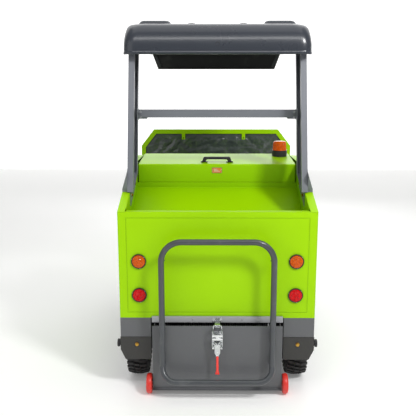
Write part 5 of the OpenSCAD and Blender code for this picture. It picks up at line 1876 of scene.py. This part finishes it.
@dataclass
class Fittings:
    """Small fixings, the blank label, panel locks, louvres and battery tops."""

    louvres: int = 9
    louvre_pitch: float = 0.026
    rim_w: float = 0.0016

    def build(self) -> None:
        """Make the fittings."""
        self._label()
        self._locks()
        self._louvres()
        self._grip_screws()
        self._batteries()
        self._knobs()

    def _label(self) -> None:
        """Make the plain stripes, the raised rim and the rivets of the orange plate."""
        low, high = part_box("hood_label")
        y = low.y - 0.0002
        stripes = Solid()
        width = high.x - low.x
        for k in range(3):
            z = low.z + (high.z - low.z) * (0.28 + 0.2 * k)
            stripes.block((low.x + width * 0.18, y - 0.0003, z),
                          (low.x + width * (0.82 - 0.16 * k), y + 0.0003, z + 0.0026))
        stripes.piece("label_stripes", "hood", LABEL_WHITE, "label_plate", smooth=False)
        rim = Solid()
        t = self.rim_w
        for a, b in (((low.x, low.z), (high.x, low.z + t)), ((low.x, high.z - t), (high.x, high.z)),
                     ((low.x, low.z), (low.x + t, high.z)), ((high.x - t, low.z), (high.x, high.z))):
            rim.block((a[0], y - 0.0006, a[1]), (b[0], y + 0.0003, b[1]), 0.0003)
        for side in (-1, 1):
            rim.lathe([(0.0022, 0.0), (0.002, 0.0008), (0.001, 0.0013), (0.0, 0.0014)], 16,
                      turned((side * (high.x - 0.0055), y, (low.z + high.z) / 2), (0, -1, 0)))
        rim.piece("label_rim_and_rivets", "hood", ZINC, "label_plate")

    def _locks(self) -> None:
        """Make the quarter-turn locks and the door seams on the side panels."""
        low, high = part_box("side_panels")
        locks, seams = Solid(), Solid()
        for side in (-1, 1):
            x = side * high.x
            for y, z in ((low.y + 0.62, low.z + 0.10), (low.y + 0.62, low.z + 0.46)):
                place = turned((x, y, z), (side, 0, 0))
                locks.lathe([(0.019, 0.0), (0.019, 0.0012), (0.0165, 0.0028), (0.010, 0.003),
                             (0.0095, 0.0016),
                             (0.0, 0.0016)], 36, place)
                locks.block((-0.0085, -0.0016, 0.0014), (0.0085, 0.0016, 0.0042), 0.0006, place)
            y0, y1, z0, z1 = low.y + 0.66, low.y + 0.98, low.z + 0.05, low.z + 0.52
            for a, b in (((y0, z0), (y1, z0)), ((y1, z0), (y1, z1)), ((y1, z1), (y0, z1)),
                         ((y0, z1), (y0, z0))):
                p, q = Vector((x, *a)), Vector((x, *b))
                seams.tube([p, (p + q) / 2, q], 0.0011, 6)
        locks.piece("panel_locks", "chassis", ZINC, "zinc")
        seams.piece("door_seams", "chassis", SEAM_SHADE, "green_paint")

    def _louvres(self) -> None:
        """Make the cooling louvres pressed out of the side panels."""
        low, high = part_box("side_panels")
        vents = Solid()
        for side in (-1, 1):
            x = side * high.x
            for k in range(self.louvres):
                z = low.z + 0.14 + k * self.louvre_pitch
                rings = []
                for t in range(9):
                    u = t / 8
                    y = low.y + 0.72 + 0.20 * u
                    out = 0.0065 * math.sin(math.pi * u) ** 0.4
                    rings.append([(x, y, z + 0.010), (x + side * out * 0.5, y, z + 0.0075),
                                  (x + side * out, y, z),
                                  (x + side * out * 0.8, y, z - 0.0008), (x, y, z - 0.0006)])
                vents.rings(rings)
        vents.piece("side_louvres", "chassis", LIME_COAT, "green_paint")

    def _grip_screws(self) -> None:
        """Make the cap screws in the feet of the hood's bridge handle."""
        low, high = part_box("hood_grip")
        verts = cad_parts["hood_grip"].data.vertices
        foot = sorted(v.co.z for v in verts)
        pad = foot[0] + 0.004
        screws = Solid()
        for side in (-1, 1):
            x = side * (high.x - 0.005)
            screws.lathe([(0.0048, 0.0), (0.0048, 0.0026), (0.0042, 0.0032), (0.0024, 0.0032),
                          (0.0024, 0.0014),
                          (0.0, 0.0014)], 20,
                         turned((x - side * 0.0002, (low.y + high.y) / 2, pad), (0, 0, 1)))
        screws.piece("grip_screws", "hood", ZINC, "zinc")

    def _batteries(self) -> None:
        """Make the vent caps, the terminals and the link bars of the batteries."""
        low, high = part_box("battery_pack")
        caps, posts, bars = Solid(), Solid(), Solid()
        w = (high.x - low.x) / 4
        d = (high.y - low.y) / 2
        for i in range(4):
            for j in range(2):
                cx, cy = low.x + w * (i + 0.5), low.y + d * (j + 0.5)
                for k in range(3):
                    caps.lathe([(0.011, 0.0), (0.011, 0.004), (0.009, 0.0055), (0.004, 0.0056),
                                (0.0036, 0.0044),
                                (0.0, 0.0044)], 24,
                               Matrix.Translation((cx - 0.045 + 0.045 * k, cy, high.z)))
                for side in (-1, 1):
                    posts.lathe([(0.0085, 0.0), (0.0078, 0.012), (0.007, 0.013), (0.0, 0.013)], 24,
                                Matrix.Translation((cx + side * w * 0.36, cy + d * 0.3, high.z)))
                if i < 3:
                    bars.block((cx + w * 0.32, cy + d * 0.3 - 0.008, high.z + 0.013),
                               (cx + w * 0.68, cy + d * 0.3 + 0.008, high.z + 0.0155), 0.0008)
        caps.piece("battery_vent_caps", "chassis", RED_NYLON, "battery_case")
        posts.piece("battery_terminals", "chassis", ZINC, "battery_case")
        bars.piece("battery_link_bars", "chassis", YELLOW_ZINC, "battery_case")

    def _knobs(self) -> None:
        """Make the knurled rims of the side knobs."""
        low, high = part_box("side_knobs")
        r = (high.z - low.z) / 2
        knurl = Solid()
        for side in (-1, 1):
            place = turned((side * (high.x - 0.007), (low.y + high.y) / 2, (low.z + high.z) / 2),
                           (side, 0, 0))

            def wave(angle: float, radius: float, z: float) -> float:
                """Grip flutes round the knob's rim."""
                return 0.0006 * math.cos(angle * 18) if radius > r * 0.9 else 0.0

            knurl.lathe([(r * 0.6, 0.0), (r * 0.99, 0.0005), (r * 1.02, 0.002), (r * 1.02, 0.005),
                         (r * 0.95, 0.0074),
                         (r * 0.5, 0.0078), (0.0, 0.0072)], 108, place, wave)
        knurl.piece("knob_knurls", "chassis", BLACK_NYLON, "black_plastic")


def main() -> None:
    """Build the machine's looks in order and report each piece."""
    Studio().build()
    for part in (Bodywork(), ShieldFilm(), TailLamps(), Beacon(), DustBinDetails(), ToggleLatch(), Wheels(),
                 Brushes(), Canopy(), Seat(), Cab(), Fittings()):
        part.build()


if __name__ == "__main__":
    main()
